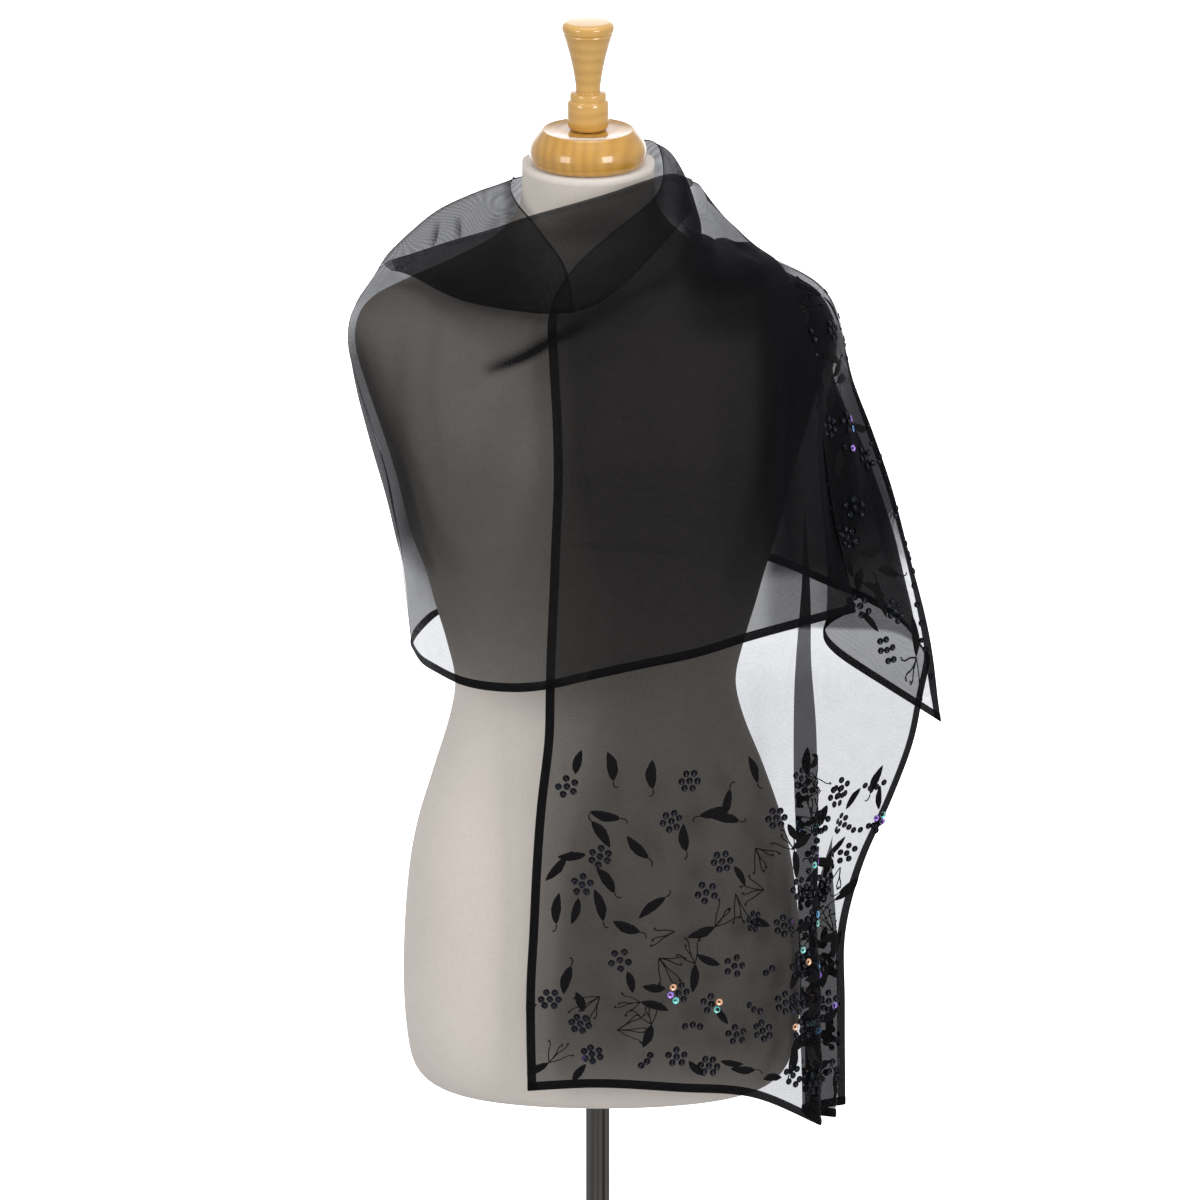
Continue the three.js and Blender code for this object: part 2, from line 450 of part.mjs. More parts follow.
function sample(table, nu, nv, hem) {
  const width = chordLength(surface(table, [0.5], even(nv))[0]);
  const us = even(nu);
  if (hem.finish) us.splice(us.length - 1, 0, 0.968, 0.974);
  const vs = acrossWithHems(nv, width, hem.first, hem.last);
  const h = HEM_DEPTH / width + 1e-6;
  const thick = (i, j) => ((hem.first && vs[j] <= h) || (hem.last && vs[j] >= 1 - h) || (hem.finish && i > us.length - 3)) ? HEM : CLOTH;
  return { grid: surface(table, us, vs), thick };
}
const atX = (line, x) => {
  for (let i = 1; i < line.length; i++) if ((line[i - 1].x - x) * (line[i].x - x) <= 0) return line[i - 1].clone().lerp(line[i], (x - line[i - 1].x) / (line[i].x - line[i - 1].x));
  return line[x < line[0].x ? 0 : line.length - 1].clone();
};

const wrap = sample(FRONT_WRAP, 25, 13, { last: true });
const cowl = sample(COWL_FOLD, 7, 19, { last: true });
const chest = sample(RIGHT_SHOULDER, 9, 10, { first: true });
const side = sample(END_SIDE, 17, 10, { last: true, finish: true });

clearOfForm(side.grid, OFF_FORM.side);
layOver(side.grid, shoulder, OFF_LAYER);

clearOfForm(wrap.grid.slice(3), OFF_FORM.wrap);
clearOfForm(wrap.grid.slice(0, 3), OFF_FORM.base);
weld(wrap.grid, false, (s) => atShare(armSide, s), 3);
const INNER_FOLD = 3;        // column of the side end that runs along its inner fold
layOver(wrap.grid, side.grid.map((row) => row.slice(INNER_FOLD)), OFF_LAYER + 1.5);
layOver(wrap.grid, shoulder, OFF_LAYER);

clearOfForm(cowl.grid, OFF_FORM.inner);
const topEdge = wrap.grid.slice(2, 21).map((row) => row[0].clone());
weld(cowl.grid, false, (s) => atShare(topEdge, s).add(new THREE.Vector3(0, FOLD_STEP, -1)), 3);
layOver(wrap.grid.slice(3), cowl.grid, FOLD_STEP);
trim(wrap.grid, false, SEAM_TRIM * 2);

// the side end starts behind the wrap's fold edge
const foldEdge = wrap.grid[wrap.grid.length - 1];
const atZ = (line, z) => {
  for (let i = 1; i < line.length; i++) if ((line[i - 1].z - z) * (line[i].z - z) <= 0) return line[i - 1].clone().lerp(line[i], (z - line[i - 1].z) / (line[i].z - line[i - 1].z));
  return line[z > line[0].z ? 0 : line.length - 1].clone();
};
for (const row of side.grid) {
  const move = atZ(foldEdge, row[0].z).add(new THREE.Vector3(-2, FOLD_STEP + 3, 0)).sub(row[0]);
  [1, 0.45, 0.12].forEach((w, j) => row[j].addScaledVector(move, w));
}

clearOfForm(chest.grid, OFF_FORM.fold);
weld(chest.grid, false, (s) => atShare(neckSide, s), 4);
const cowlFoot = cowl.grid[cowl.grid.length - 1];
weld(chest.grid, true, (s, p) => atX(cowlFoot, p.x).add(new THREE.Vector3(0, FOLD_STEP, 0)), 4);
trim(chest.grid, false, SEAM_TRIM * 5);
for (const row of chest.grid) row[row.length - 1].lerp(row[row.length - 2], 0.15);

part.add(piece('stole_front_wrap', wall(wrap.grid, wrap.thick), 'tulle'));
part.add(piece('stole_cowl_fold', wall(cowl.grid, cowl.thick), 'tulle'));
part.add(piece('stole_right_shoulder', wall(chest.grid, chest.thick), 'tulle'));
part.add(piece('stole_end_side', wall(side.grid, side.thick), 'tulle'));

export default part;
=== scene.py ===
import math
import random

import bmesh
import bpy
import numpy as np
from mathutils import Matrix, Vector
from mathutils.kdtree import KDTree


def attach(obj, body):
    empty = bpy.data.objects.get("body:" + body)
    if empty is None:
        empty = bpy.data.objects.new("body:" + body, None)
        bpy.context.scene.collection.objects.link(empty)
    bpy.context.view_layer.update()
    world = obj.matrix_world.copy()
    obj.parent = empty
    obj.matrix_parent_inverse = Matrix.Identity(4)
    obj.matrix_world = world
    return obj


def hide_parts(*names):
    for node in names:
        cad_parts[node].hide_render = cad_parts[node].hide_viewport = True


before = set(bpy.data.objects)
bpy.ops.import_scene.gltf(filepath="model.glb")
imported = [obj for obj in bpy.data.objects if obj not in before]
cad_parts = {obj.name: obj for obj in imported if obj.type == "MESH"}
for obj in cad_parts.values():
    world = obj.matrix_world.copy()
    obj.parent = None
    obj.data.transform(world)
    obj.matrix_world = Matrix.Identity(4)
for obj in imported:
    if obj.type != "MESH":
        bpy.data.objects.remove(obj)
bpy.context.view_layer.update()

MM = 0.001
SHIFT_X = -40.8
NECK_Z, NECK_Y, NECK_X = 1320.0, -10.5, -8.0
NECK_LEAN = math.radians(13)
CAP_R, CAP_TOP_R, CAP_H = 49.5, 38.5, 30.0
BASE_R, BASE_H, HUB_R, HUB_H = 170.0, 12.0, 24.0, 26.0
POLE_R, FORM_BOTTOM, GAP = 10.5, 520.0, 0.3
HEM_DEPTH = 9.0
OFF_FORM = {"base": 8.0, "fold": 10.0, "inner": 13.0, "side": 13.0, "wrap": 18.0}
OFF_LAYER = 4.5
FOLD_STEP = 3.0
SEED = 11

# ---------------------------------------------------------------- camera
TARGET = Vector((2.0 + SHIFT_X, 0.0, 946.0)) * MM
DISTANCE, ELEVATION, FRAME_WIDTH = 3.6, math.radians(8.5), 1.032
cam_data = bpy.data.cameras.new("camera")
cam_data.sensor_width = 36.0
cam_data.lens = 36.0 * DISTANCE / FRAME_WIDTH
cam_data.clip_end = 60.0
cam = bpy.data.objects.new("camera", cam_data)
look = Vector((0.0, math.cos(ELEVATION), -math.sin(ELEVATION)))
cam.location = TARGET - look * DISTANCE
cam.rotation_euler = (math.pi / 2 - ELEVATION, 0.0, 0.0)
bpy.context.scene.collection.objects.link(cam)
bpy.context.scene.camera = cam

# ---------------------------------------------------------------- tables, millimetres, as in the part's source
FORM = [
    ("bottom", 520, 120, 3, 84, 86, 2.2),
    ("bottom edge", 524, 146, 3, 100, 104, 2.2),
    ("lower roll", 540, 163, 3, 109, 114, 2.2),
    ("thigh", 575, 171, 4, 114, 120, 2.3),
    ("seat", 630, 173, 4, 116, 124, 2.3),
    ("hip", 700, 168, 3, 114, 124, 2.3),
    ("high hip", 750, 159, 2, 108, 116, 2.3),
    ("lower waist", 800, 143, 1, 100, 104, 2.25),
    ("near waist", 845, 127, -1, 93, 93, 2.2),
    ("waist", 878, 121, -2, 89, 88, 2.2),
    ("above waist", 912, 128, -2, 90, 88, 2.2),
    ("ribs", 946, 138, -2, 95, 90, 2.25),
    ("high ribs", 975, 146, -2, 101, 92, 2.3),
    ("under bust", 1010, 158, -3, 114, 94, 2.35),
    ("bust", 1052, 168, -3, 126, 97, 2.4),
    ("bust top", 1086, 178, -3, 127, 99, 2.4),
    ("armhole", 1130, 192, -4, 112, 100, 2.4),
    ("arm stub", 1165, 202, -4, 96, 99, 2.35),
    ("shoulder edge", 1190, 200, -4, 82, 96, 2.25),
    ("shoulder", 1208, 186, -4, 72, 90, 2.15),
    ("shoulder slope", 1224, 154, -5, 64, 82, 2.05),
    ("shoulder inner", 1240, 118, -5, 58, 74, 2.0),
    ("neck root", 1256, 86, -6, 54, 66, 2.0),
    ("neck low", 1272, 66, -7, 56, 58, 2.0),
    ("neck", 1290, 57, -8, 61, 51, 2.0),
    ("neck top", NECK_Z, 56, -8, 66, 46, 2.0),
]
LONG_RUN = {
    "columns": ["inner hem", "flat 1", "flat 2", "flat 3", "outer crest", "fold return", "second crest", "second return", "outer hem"],
    "rows": [
        ("hem", (-59, -138, 549), (2, -146, 554), (69, -138, 548), (133, -112, 536), (193, -74, 500), (175, -52, 507), (207, -34, 497), (180, -14, 496), (217, 2, 499)),
        ("hip line", (-60, -140, 628), (2, -148, 630), (69, -139, 628), (133, -112, 621), (192, -74, 612), (171, -52, 606), (209, -34, 602), (180, -13, 596), (216, 3, 592)),
        ("upper hip", (-57, -141, 688), (4, -149, 690), (71, -140, 688), (133, -112, 681), (189, -74, 673), (170, -52, 668), (207, -34, 663), (182, -12, 658), (216, 4, 655)),
        ("high hip", (-54, -142, 748), (6, -149, 750), (72, -140, 748), (132, -112, 742), (188, -74, 734), (168, -52, 729), (201, -36, 725), (197, -14, 721), (232, 6, 717)),
        ("below waist", (-50, -142, 799), (9, -149, 800), (74, -139, 798), (132, -111, 793), (188, -74, 786), (166, -52, 781), (197, -40, 779), (219, -18, 774), (255, 8, 769)),
        ("waist", (-44, -142, 850), (12, -149, 851), (75, -139, 849), (132, -111, 844), (187, -74, 837), (165, -52, 833), (198, -42, 831), (236, -20, 827), (274, 10, 822)),
        ("above waist", (-43, -143, 892), (14, -149, 893), (77, -138, 891), (132, -110, 886), (184, -73, 880), (166, -52, 876), (202, -42, 875), (244, -20, 871), (282, 12, 865)),
        ("wrap hem level", (-42, -144, 926), (15, -149, 927), (77, -137, 925), (131, -109, 920), (181, -72, 914), (168, -52, 911), (205, -40, 909), (249, -16, 903), (288, 18, 893)),
        ("ribs", (-40, -145, 968), (17, -149, 968), (76, -135, 966), (130, -107, 962), (180, -72, 958), (172, -52, 957), (212, -30, 950), (263, -2, 939), (282, 36, 898)),
        ("under bust", (-38, -146, 1018), (18, -149, 1018), (78, -133, 1016), (131, -104, 1014), (175, -69, 1012), (176, -52, 1014), (233, -14, 996), (265, 20, 962), (267, 68, 915)),
        ("bust", (-36, -145, 1067), (20, -147, 1069), (80, -128, 1070), (132, -98, 1070), (169, -60, 1069), (184, -36, 1066), (232, 12, 1047), (258, 60, 990), (237, 100, 930)),
        ("above bust", (-37, -138, 1116), (20, -139, 1120), (80, -117, 1122), (133, -94, 1125), (176, -57, 1119), (187, -20, 1112), (224, 32, 1088), (239, 84, 1015), (201, 116, 943)),
        ("armhole", (-40, -116, 1164), (17, -113, 1170), (75, -91, 1175), (126, -75, 1185), (178, -50, 1181), (199, 5, 1151), (203, 54, 1124), (206, 102, 1043), (164, 126, 958)),
        ("shoulder front", (-40, -96, 1202), (14, -88, 1209), (65, -70, 1216), (110, -49, 1226), (148, -17, 1228), (186, 29, 1203), (176, 66, 1147), (166, 110, 1063), (125, 132, 969)),
        ("shoulder ridge", (-20, -78, 1237), (20, -61, 1244), (61, -47, 1251), (94, -21, 1251), (122, 9, 1241), (142, 48, 1221), (135, 84, 1151), (119, 116, 1072), (86, 136, 973)),
        ("neck side", (21, -57, 1273), (45, -41, 1273), (69, -17, 1268), (87, 9, 1257), (106, 36, 1242), (114, 70, 1217), (104, 94, 1157), (85, 122, 1074), (47, 138, 974)),
        ("neck back left", (51, -20, 1302), (56, -2, 1292), (68, 18, 1278), (79, 40, 1259), (87, 62, 1236), (87, 86, 1209), (72, 104, 1156), (50, 126, 1074), (7, 138, 972)),
        ("left blade", (49, 38, 1337), (64, 46, 1328), (78, 58, 1301), (85, 72, 1268), (86, 86, 1236), (79, 98, 1202), (58, 114, 1150), (29, 128, 1070), (-16, 138, 965)),
        ("centre back", (2, 74, 1330), (7, 80, 1313), (9, 88, 1289), (7, 98, 1258), (4, 106, 1226), (-2, 112, 1192), (-12, 120, 1140), (-33, 128, 1061), (-66, 132, 950)),
        ("right blade", (-43, 58, 1318), (-50, 66, 1308), (-64, 74, 1288), (-80, 84, 1258), (-90, 94, 1227), (-96, 102, 1193), (-97, 112, 1137), (-97, 118, 1054), (-105, 118, 934)),
        ("right shoulder back", (-60, 36, 1309), (-77, 44, 1301), (-101, 50, 1285), (-127, 58, 1257), (-147, 66, 1227), (-156, 76, 1190), (-155, 88, 1127), (-146, 94, 1039), (-137, 90, 922)),
        ("right edge back", (-66, 17, 1307), (-84, 20, 1301), (-108, 22, 1289), (-140, 24, 1271), (-167, 26, 1251), (-188, 32, 1221), (-200, 42, 1158), (-181, 48, 1044), (-157, 44, 909)),
        ("right turn", (-68, 9, 1308), (-85, 6, 1302), (-105, 5, 1295), (-136, 4, 1280), (-165, 4, 1256), (-186, 4, 1233), (-210, 4, 1173), (-181, 2, 1063), (-160, -2, 905)),
    ],
}
RIGHT_SHOULDER = {
    "columns": ["neck hem", "neck", "shoulder", "mid shoulder", "arm", "tip"],
    "rows": [
        ("ridge", (-71, 10, 1308), (-85, 6, 1302), (-105, 5, 1295), (-136, 4, 1280), (-165, 4, 1256), (-183, 3, 1236)),
        ("ridge front", (-68, -27, 1291), (-82, -36, 1278), (-104, -32, 1272), (-135, -20, 1261), (-164, -8, 1247), (-181, -2, 1234)),
        ("collar bone", (-56, -50, 1277), (-75, -63, 1255), (-100, -55, 1252), (-132, -38, 1246), (-161, -17, 1239), (-180, -5, 1233)),
        ("upper chest", (-40, -76, 1257), (-64, -82, 1231), (-95, -73, 1233), (-129, -52, 1233), (-158, -25, 1233), (-178, -8, 1232)),
        ("neckline", (-25, -92, 1236), (-56, -96, 1213), (-89, -87, 1217), (-123, -63, 1222), (-153, -32, 1227), (-175, -11, 1230)),
        ("hidden fold", (-19, -110, 1201), (-51, -108, 1202), (-86, -97, 1206), (-120, -71, 1213), (-150, -39, 1224), (-172, -14, 1230)),
    ],
}
COWL_FOLD = {
    "columns": ["right tip", "arm", "chest 1", "chest 2", "chest 3", "centre", "left 1", "left 2", "left 3", "left end"],
    "rows": [
        ("top fold", (-174, -13, 1239), (-154, -26, 1245), (-124, -46, 1255), (-87, -64, 1268), (-55, -78, 1279), (-23, -86, 1288), (10, -83, 1297), (39, -68, 1306), (62, -46, 1311), (76, -28, 1306)),
        ("upper", (-173, -16, 1236), (-153, -35, 1239), (-122, -60, 1244), (-84, -80, 1250), (-50, -95, 1258), (-17, -102, 1266), (13, -94, 1278), (40, -74, 1290), (62, -48, 1298), (74, -24, 1299)),
        ("lower", (-172, -19, 1233), (-151, -41, 1231), (-121, -70, 1228), (-82, -92, 1229), (-46, -108, 1231), (-11, -114, 1238), (17, -102, 1253), (44, -82, 1271), (65, -54, 1284), (77, -28, 1292)),
        ("hidden fold", (-171, -20, 1230), (-150, -46, 1224), (-119, -79, 1212), (-81, -104, 1205), (-41, -117, 1202), (-6, -121, 1207), (23, -108, 1226), (46, -85, 1248), (67, -56, 1269), (79, -30, 1282)),
    ],
}
FRONT_WRAP = {
    "columns": ["top fold", "chest", "bust", "under bust", "waist", "high hip", "hem"],
    "rows": [
        ("right turn", (-184, 4, 1234), (-202, 5, 1219), (-220, 6, 1174), (-201, 4, 1097), (-180, 2, 1026), (-166, 0, 959), (-160, -2, 905)),
        ("arm front", (-174, -14, 1239), (-189, -32, 1219), (-201, -51, 1180), (-193, -53, 1103), (-175, -48, 1032), (-160, -43, 965), (-150, -42, 898)),
        ("arm inner", (-154, -30, 1246), (-163, -62, 1216), (-168, -84, 1177), (-161, -95, 1107), (-152, -93, 1036), (-146, -90, 964), (-135, -86, 897)),
        ("armhole", (-124, -50, 1257), (-129, -88, 1218), (-132, -110, 1175), (-128, -126, 1107), (-122, -124, 1036), (-117, -119, 964), (-110, -114, 890)),
        ("bust side", (-87, -68, 1269), (-89, -107, 1225), (-90, -126, 1177), (-88, -143, 1108), (-85, -143, 1038), (-82, -140, 963), (-78, -135, 889)),
        ("bust point", (-55, -82, 1280), (-54, -121, 1230), (-52, -134, 1177), (-50, -151, 1109), (-49, -153, 1039), (-47, -153, 965), (-45, -150, 893)),
        ("centre", (-23, -90, 1289), (-19, -127, 1234), (-16, -137, 1178), (-13, -155, 1110), (-10, -158, 1040), (-8, -158, 970), (-5, -157, 903)),
        ("left of centre", (10, -87, 1298), (17, -124, 1242), (23, -134, 1186), (28, -153, 1109), (32, -157, 1040), (33, -157, 974), (37, -156, 912)),
        ("left bust", (39, -72, 1307), (51, -107, 1254), (63, -122, 1197), (71, -142, 1112), (76, -146, 1038), (79, -147, 976), (82, -146, 920)),
        ("left side", (62, -50, 1312), (83, -78, 1260), (101, -100, 1202), (113, -120, 1114), (118, -126, 1040), (120, -129, 982), (124, -128, 930)),
        ("left arm", (78, -32, 1307), (109, -48, 1250), (138, -73, 1201), (152, -96, 1112), (155, -104, 1037), (158, -108, 987), (161, -107, 937)),
        ("gather", (87, -16, 1302), (127, -25, 1245), (158, -72, 1193), (177, -70, 1108), (183, -82, 1039), (187, -90, 993), (190, -90, 942)),
        ("left fold", (93, -4, 1289), (138, -9, 1244), (173, -67, 1183), (188, -52, 1103), (198, -68, 1033), (209, -76, 983), (217, -78, 947)),
    ],
}
END_SIDE = {
    "columns": ["under fold", "inner fold", "middle", "outer hem"],
    "rows": [
        ("neck side", (132, -4, 1249), (117, 6, 1249), (118, 12, 1248), (123, 20, 1249)),
        ("gather", (125, -4, 1256), (88, -33, 1255), (91, -22, 1258), (100, -8, 1259)),
        ("ridge inner", (143, -15, 1233), (142, -24, 1234), (149, -7, 1235), (156, 11, 1232)),
        ("ridge outer", (159, -42, 1205), (166, -49, 1206), (182, -35, 1207), (195, 12, 1212)),
        ("shoulder tip", (175, -60, 1169), (176, -64, 1170), (195, -43, 1171), (207, 14, 1168)),
        ("upper arm", (186, -49, 1107), (181, -52, 1104), (207, -32, 1112), (231, 4, 1101)),
        ("mid arm", (195, -61, 1045), (183, -55, 1041), (221, -38, 1046), (253, -4, 1035)),
        ("elbow", (206, -71, 991), (185, -60, 987), (231, -44, 985), (269, -12, 975)),
        ("above hem", (214, -73, 957), (183, -60, 950), (236, -46, 934), (283, -16, 926)),
        ("hem", (216, -74, 947), (178, -60, 926), (235, -44, 884), (295, -20, 843)),
    ],
}


# ---------------------------------------------------------------- curves and sheets
def cr(P, t):
    """Catmull-Rom through the rows of P at places t from 0 to 1."""
    P = np.asarray(P, float)
    n = len(P)
    x = np.clip(np.asarray(t, float), 0, 1) * (n - 1)
    i = np.minimum(x.astype(int), n - 2)
    w = (x - i)[(...,) + (None,) * (P.ndim - 1)]
    b, c = P[i], P[i + 1]
    first = (i > 0)[(...,) + (None,) * (P.ndim - 1)]
    last = (i < n - 2)[(...,) + (None,) * (P.ndim - 1)]
    a = np.where(first, P[np.maximum(i - 1, 0)], 2 * b - c)
    d = np.where(last, P[np.minimum(i + 2, n - 1)], 2 * c - b)
    return 0.5 * (2 * b + (c - a) * w + (2 * a - 5 * b + 4 * c - d) * w ** 2 + (3 * b - a - 3 * c + d) * w ** 3)


def rows_of(table):
    return np.array([r[1:] for r in table["rows"]], float)


def surface(P, us, vs):
    A = cr(P, us)
    return np.swapaxes(cr(np.swapaxes(A, 0, 1), vs), 0, 1)


def by_length(P, axis, spacing, lo=0.0, hi=1.0):
    """Places along one axis of a table that are evenly spaced on the cloth."""
    t = np.linspace(lo, hi, 400)
    other = np.linspace(0, 1, 9)
    g = surface(P, t, other) if axis == 0 else np.swapaxes(surface(P, other, t), 0, 1)
    step = np.linalg.norm(np.diff(g, axis=0), axis=2)
    step = 0.5 * step.mean(1) + 0.5 * step.max(1)
    run = np.concatenate([[0], np.cumsum(step)])
    n = max(int(round(run[-1] / spacing)), 4) + 1
    return np.interp(np.linspace(0, run[-1], n), run, t)


def grid_normals(g):
    du = np.gradient(g, axis=0)
    dv = np.gradient(g, axis=1)
    n = np.cross(du, dv)
    return n / np.maximum(np.linalg.norm(n, axis=2, keepdims=True), 1e-9)


FORM_A = np.array([r[1:] for r in FORM], float)


def outside_form(p):
    z = np.clip(p[..., 2], FORM_A[0, 0], FORM_A[-1, 0])
    a, cx, bf, bb, n = (np.interp(z, FORM_A[:, 0], FORM_A[:, k]) for k in range(1, 6))
    dx = p[..., 0] - cx
    y = p[..., 1]
    b = np.where(y < 0, bf, bb)
    e = (np.abs(dx / a) ** n + np.abs(y / b) ** n) ** (1 / n)
    return np.hypot(dx, y) * (1 - 1 / np.maximum(e, 1e-3))


def clear_of_form(g, least, turns=14):
    g = g.copy()
    for _ in range(turns):
        f = outside_form(g)
        s = np.stack([outside_form(g + 0.5 * np.eye(3)[k]) - outside_form(g - 0.5 * np.eye(3)[k]) for k in range(3)], -1)
        m = np.maximum(np.linalg.norm(s, axis=-1), 1e-3)
        short = least - f / m
        move = np.where(short > 0.05, np.minimum(short, 5) / m, 0)
        if not move.any():
            break
        g = g + s * move[..., None]
    return g


def smooth(g, times, keep_edges=True):
    for _ in range(times):
        h = g.copy()
        h[1:-1, 1:-1] = 0.5 * g[1:-1, 1:-1] + 0.125 * (g[:-2, 1:-1] + g[2:, 1:-1] + g[1:-1, :-2] + g[1:-1, 2:])
        g = h
    return g


def even_out(g, times):
    """Softens small steps all over a sheet, its edges along their own length."""
    for _ in range(times):
        h = g.copy()
        h[1:-1] = 0.25 * g[:-2] + 0.5 * g[1:-1] + 0.25 * g[2:]
        g = h.copy()
        g[:, 1:-1] = 0.25 * h[:, :-2] + 0.5 * h[:, 1:-1] + 0.25 * h[:, 2:]
    return g


def outward(g):
    n = grid_normals(g)
    c = np.stack([g[..., 0], g[..., 1], np.maximum(g[..., 2] - 1100, 0)], -1)
    return n if (n * c).sum() > 0 else -n


def lay_over(g, under, least, turns=2):
    """Lifts a sheet off the outer side of the layer under it."""
    g = g.copy()
    n = outward(under).reshape(-1, 3)
    q = under.reshape(-1, 3)
    tree = KDTree(len(q))
    for i, p in enumerate(q):
        tree.insert(p, i)
    tree.balance()
    flat = g.reshape(-1, 3)
    for _ in range(turns):
        for k in range(len(flat)):
            co, i, dist = tree.find(flat[k])
            if dist > 24:
                continue
            s = float((flat[k] - q[i]) @ n[i])
            side = math.sqrt(max(dist * dist - s * s, 0))
            if side < 6 and -16 < s < least:
                flat[k] += n[i] * (least - s)
    return g


def lengths(line):
    return np.concatenate([[0], np.cumsum(np.linalg.norm(np.diff(line, axis=0), axis=1))])


def at_share(line, share):
    run = lengths(line)
    return np.stack([np.interp(np.asarray(share) * run[-1], run, line[:, k]) for k in range(3)], -1)


def weld(g, at_end, target, reach):
    """Draws one edge row of a sheet onto a line and the rows next to it part of the way."""
    n = len(g)
    g = g.copy()
    edge = g[n - 1 if at_end else 0]
    run = lengths(edge)
    move = target(run / run[-1], edge) - edge
    for k in range(reach):
        g[n - 1 - k if at_end else k] += move * (1 - k / reach) ** 2
    return g


def bridge(a, ta, b, tb, n):
    """Rows that turn smoothly from line a to line b; ta and tb point into the turn at each line."""
    size = np.linalg.norm(b - a, axis=1, keepdims=True) * 1.35
    out = []
    for w in np.linspace(0, 1, n + 2)[1:-1]:
        h = (2 * w ** 3 - 3 * w ** 2 + 1, w ** 3 - 2 * w ** 2 + w, -2 * w ** 3 + 3 * w ** 2, w ** 3 - w ** 2)
        out.append(h[0] * a + h[1] * ta * size + h[2] * b - h[3] * tb * size)
    return np.array(out)


def unit(v):
    return v / np.maximum(np.linalg.norm(v, axis=-1, keepdims=True), 1e-9)


SPACING = 3.4
LONG = rows_of(LONG_RUN)
vs_long = by_length(LONG, 1, SPACING)
us_long = by_length(LONG, 0, SPACING)
long_grid = even_out(clear_of_form(surface(LONG, us_long, vs_long), OFF_FORM["base"]), 10)

WRAP, COWL, CHEST, SIDE = rows_of(FRONT_WRAP), rows_of(COWL_FOLD), rows_of(RIGHT_SHOULDER), rows_of(END_SIDE)
U_WRAP, U_NECK = 7 / 22, 16 / 22
shoulder = long_grid[(us_long >= U_WRAP - 0.01) & (us_long <= U_NECK + 0.01)]
turn_line = np.stack([np.interp(np.linspace(0, 1, 257), vs_long, long_grid[-1][:, k]) for k in range(3)], -1)
CORNER = 160
neck_side, arm_side = turn_line[:CORNER + 1], turn_line[CORNER:]

side_us, side_vs = by_length(SIDE, 0, SPACING), by_length(SIDE, 1, SPACING)
side_grid = even_out(lay_over(clear_of_form(surface(SIDE, side_us, side_vs), OFF_FORM["side"]), shoulder, OFF_LAYER), 45)

wrap_us, wrap_vs = by_length(WRAP, 0, SPACING), by_length(WRAP, 1, SPACING)
wrap_grid = surface(WRAP, wrap_us, wrap_vs)
near = 3
gap_rows = np.clip((wrap_us * 12 - 0.2) / 1.2, 0, 1)[:, None]
a, b = clear_of_form(wrap_grid, OFF_FORM["base"]), clear_of_form(wrap_grid, OFF_FORM["wrap"])
wrap_grid = a + (b - a) * gap_rows[..., None]
reach = int(np.searchsorted(wrap_us, 2.4 / 24 * 1.0)) + 2
wrap_grid = weld(wrap_grid, False, lambda s, p: at_share(arm_side, s), reach)
flap = side_grid[:, side_vs >= 0.333]
wrap_grid = lay_over(lay_over(wrap_grid, flap, OFF_LAYER), shoulder, OFF_LAYER)

cowl_us, cowl_vs = by_length(COWL, 0, SPACING), by_length(COWL, 1, SPACING)
cowl_grid = even_out(clear_of_form(surface(COWL, cowl_us, cowl_vs), OFF_FORM["inner"]), 12)
top_part = (wrap_us >= 1 / 12) & (wrap_us <= 10.2 / 12)
top_edge = wrap_grid[top_part, 0]


def cowl_top(s, p):
    depth = FOLD_STEP + 9.0 * np.clip((s - 0.8) / 0.2, 0, 1) ** 1.5
    return at_share(top_edge, s) + np.stack([0 * s, depth, -1.0 - 0.3 * depth], -1)


cowl_grid = weld(cowl_grid, False, cowl_top, max(int(len(cowl_us) * 0.5), 3))
wrap_grid = np.concatenate([wrap_grid[:3], lay_over(wrap_grid[3:], cowl_grid, FOLD_STEP)])
wrap_grid = even_out(wrap_grid, 9)
top_edge = wrap_grid[top_part, 0]

chest_us, chest_vs = by_length(CHEST, 0, SPACING), by_length(CHEST, 1, SPACING)
chest_grid = even_out(clear_of_form(surface(CHEST, chest_us, chest_vs), OFF_FORM["fold"]), 12)
chest_grid = weld(chest_grid, False, lambda s, p: at_share(neck_side, s), 6)
foot = cowl_grid[-1]
order = np.argsort(foot[:, 0])


def at_foot(s, p):
    y = np.interp(p[:, 0], foot[order, 0], foot[order, 1])
    z = np.interp(p[:, 0], foot[order, 0], foot[order, 2])
    return np.stack([p[:, 0], y + FOLD_STEP, z], -1)


chest_grid = weld(chest_grid, True, at_foot, max(int(len(chest_us) * 0.5), 3))

fold_edge = wrap_grid[-1]
order_z = np.argsort(fold_edge[:, 2])
side_edge = np.stack([np.interp(side_grid[:, 0, 2], fold_edge[order_z, 2], fold_edge[order_z, k]) for k in range(3)], -1)
move = side_edge + np.array([-2.0, FOLD_STEP + 1.5, 0.0]) - side_grid[:, 0]
fade = np.clip(1 - side_vs / 0.3, 0, 1) ** 1.5
side_grid = even_out(side_grid + move[:, None, :] * fade[None, :, None], 8)
GRIDS = {"long": long_grid, "wrap": wrap_grid, "cowl": cowl_grid, "chest": chest_grid, "side": side_grid}

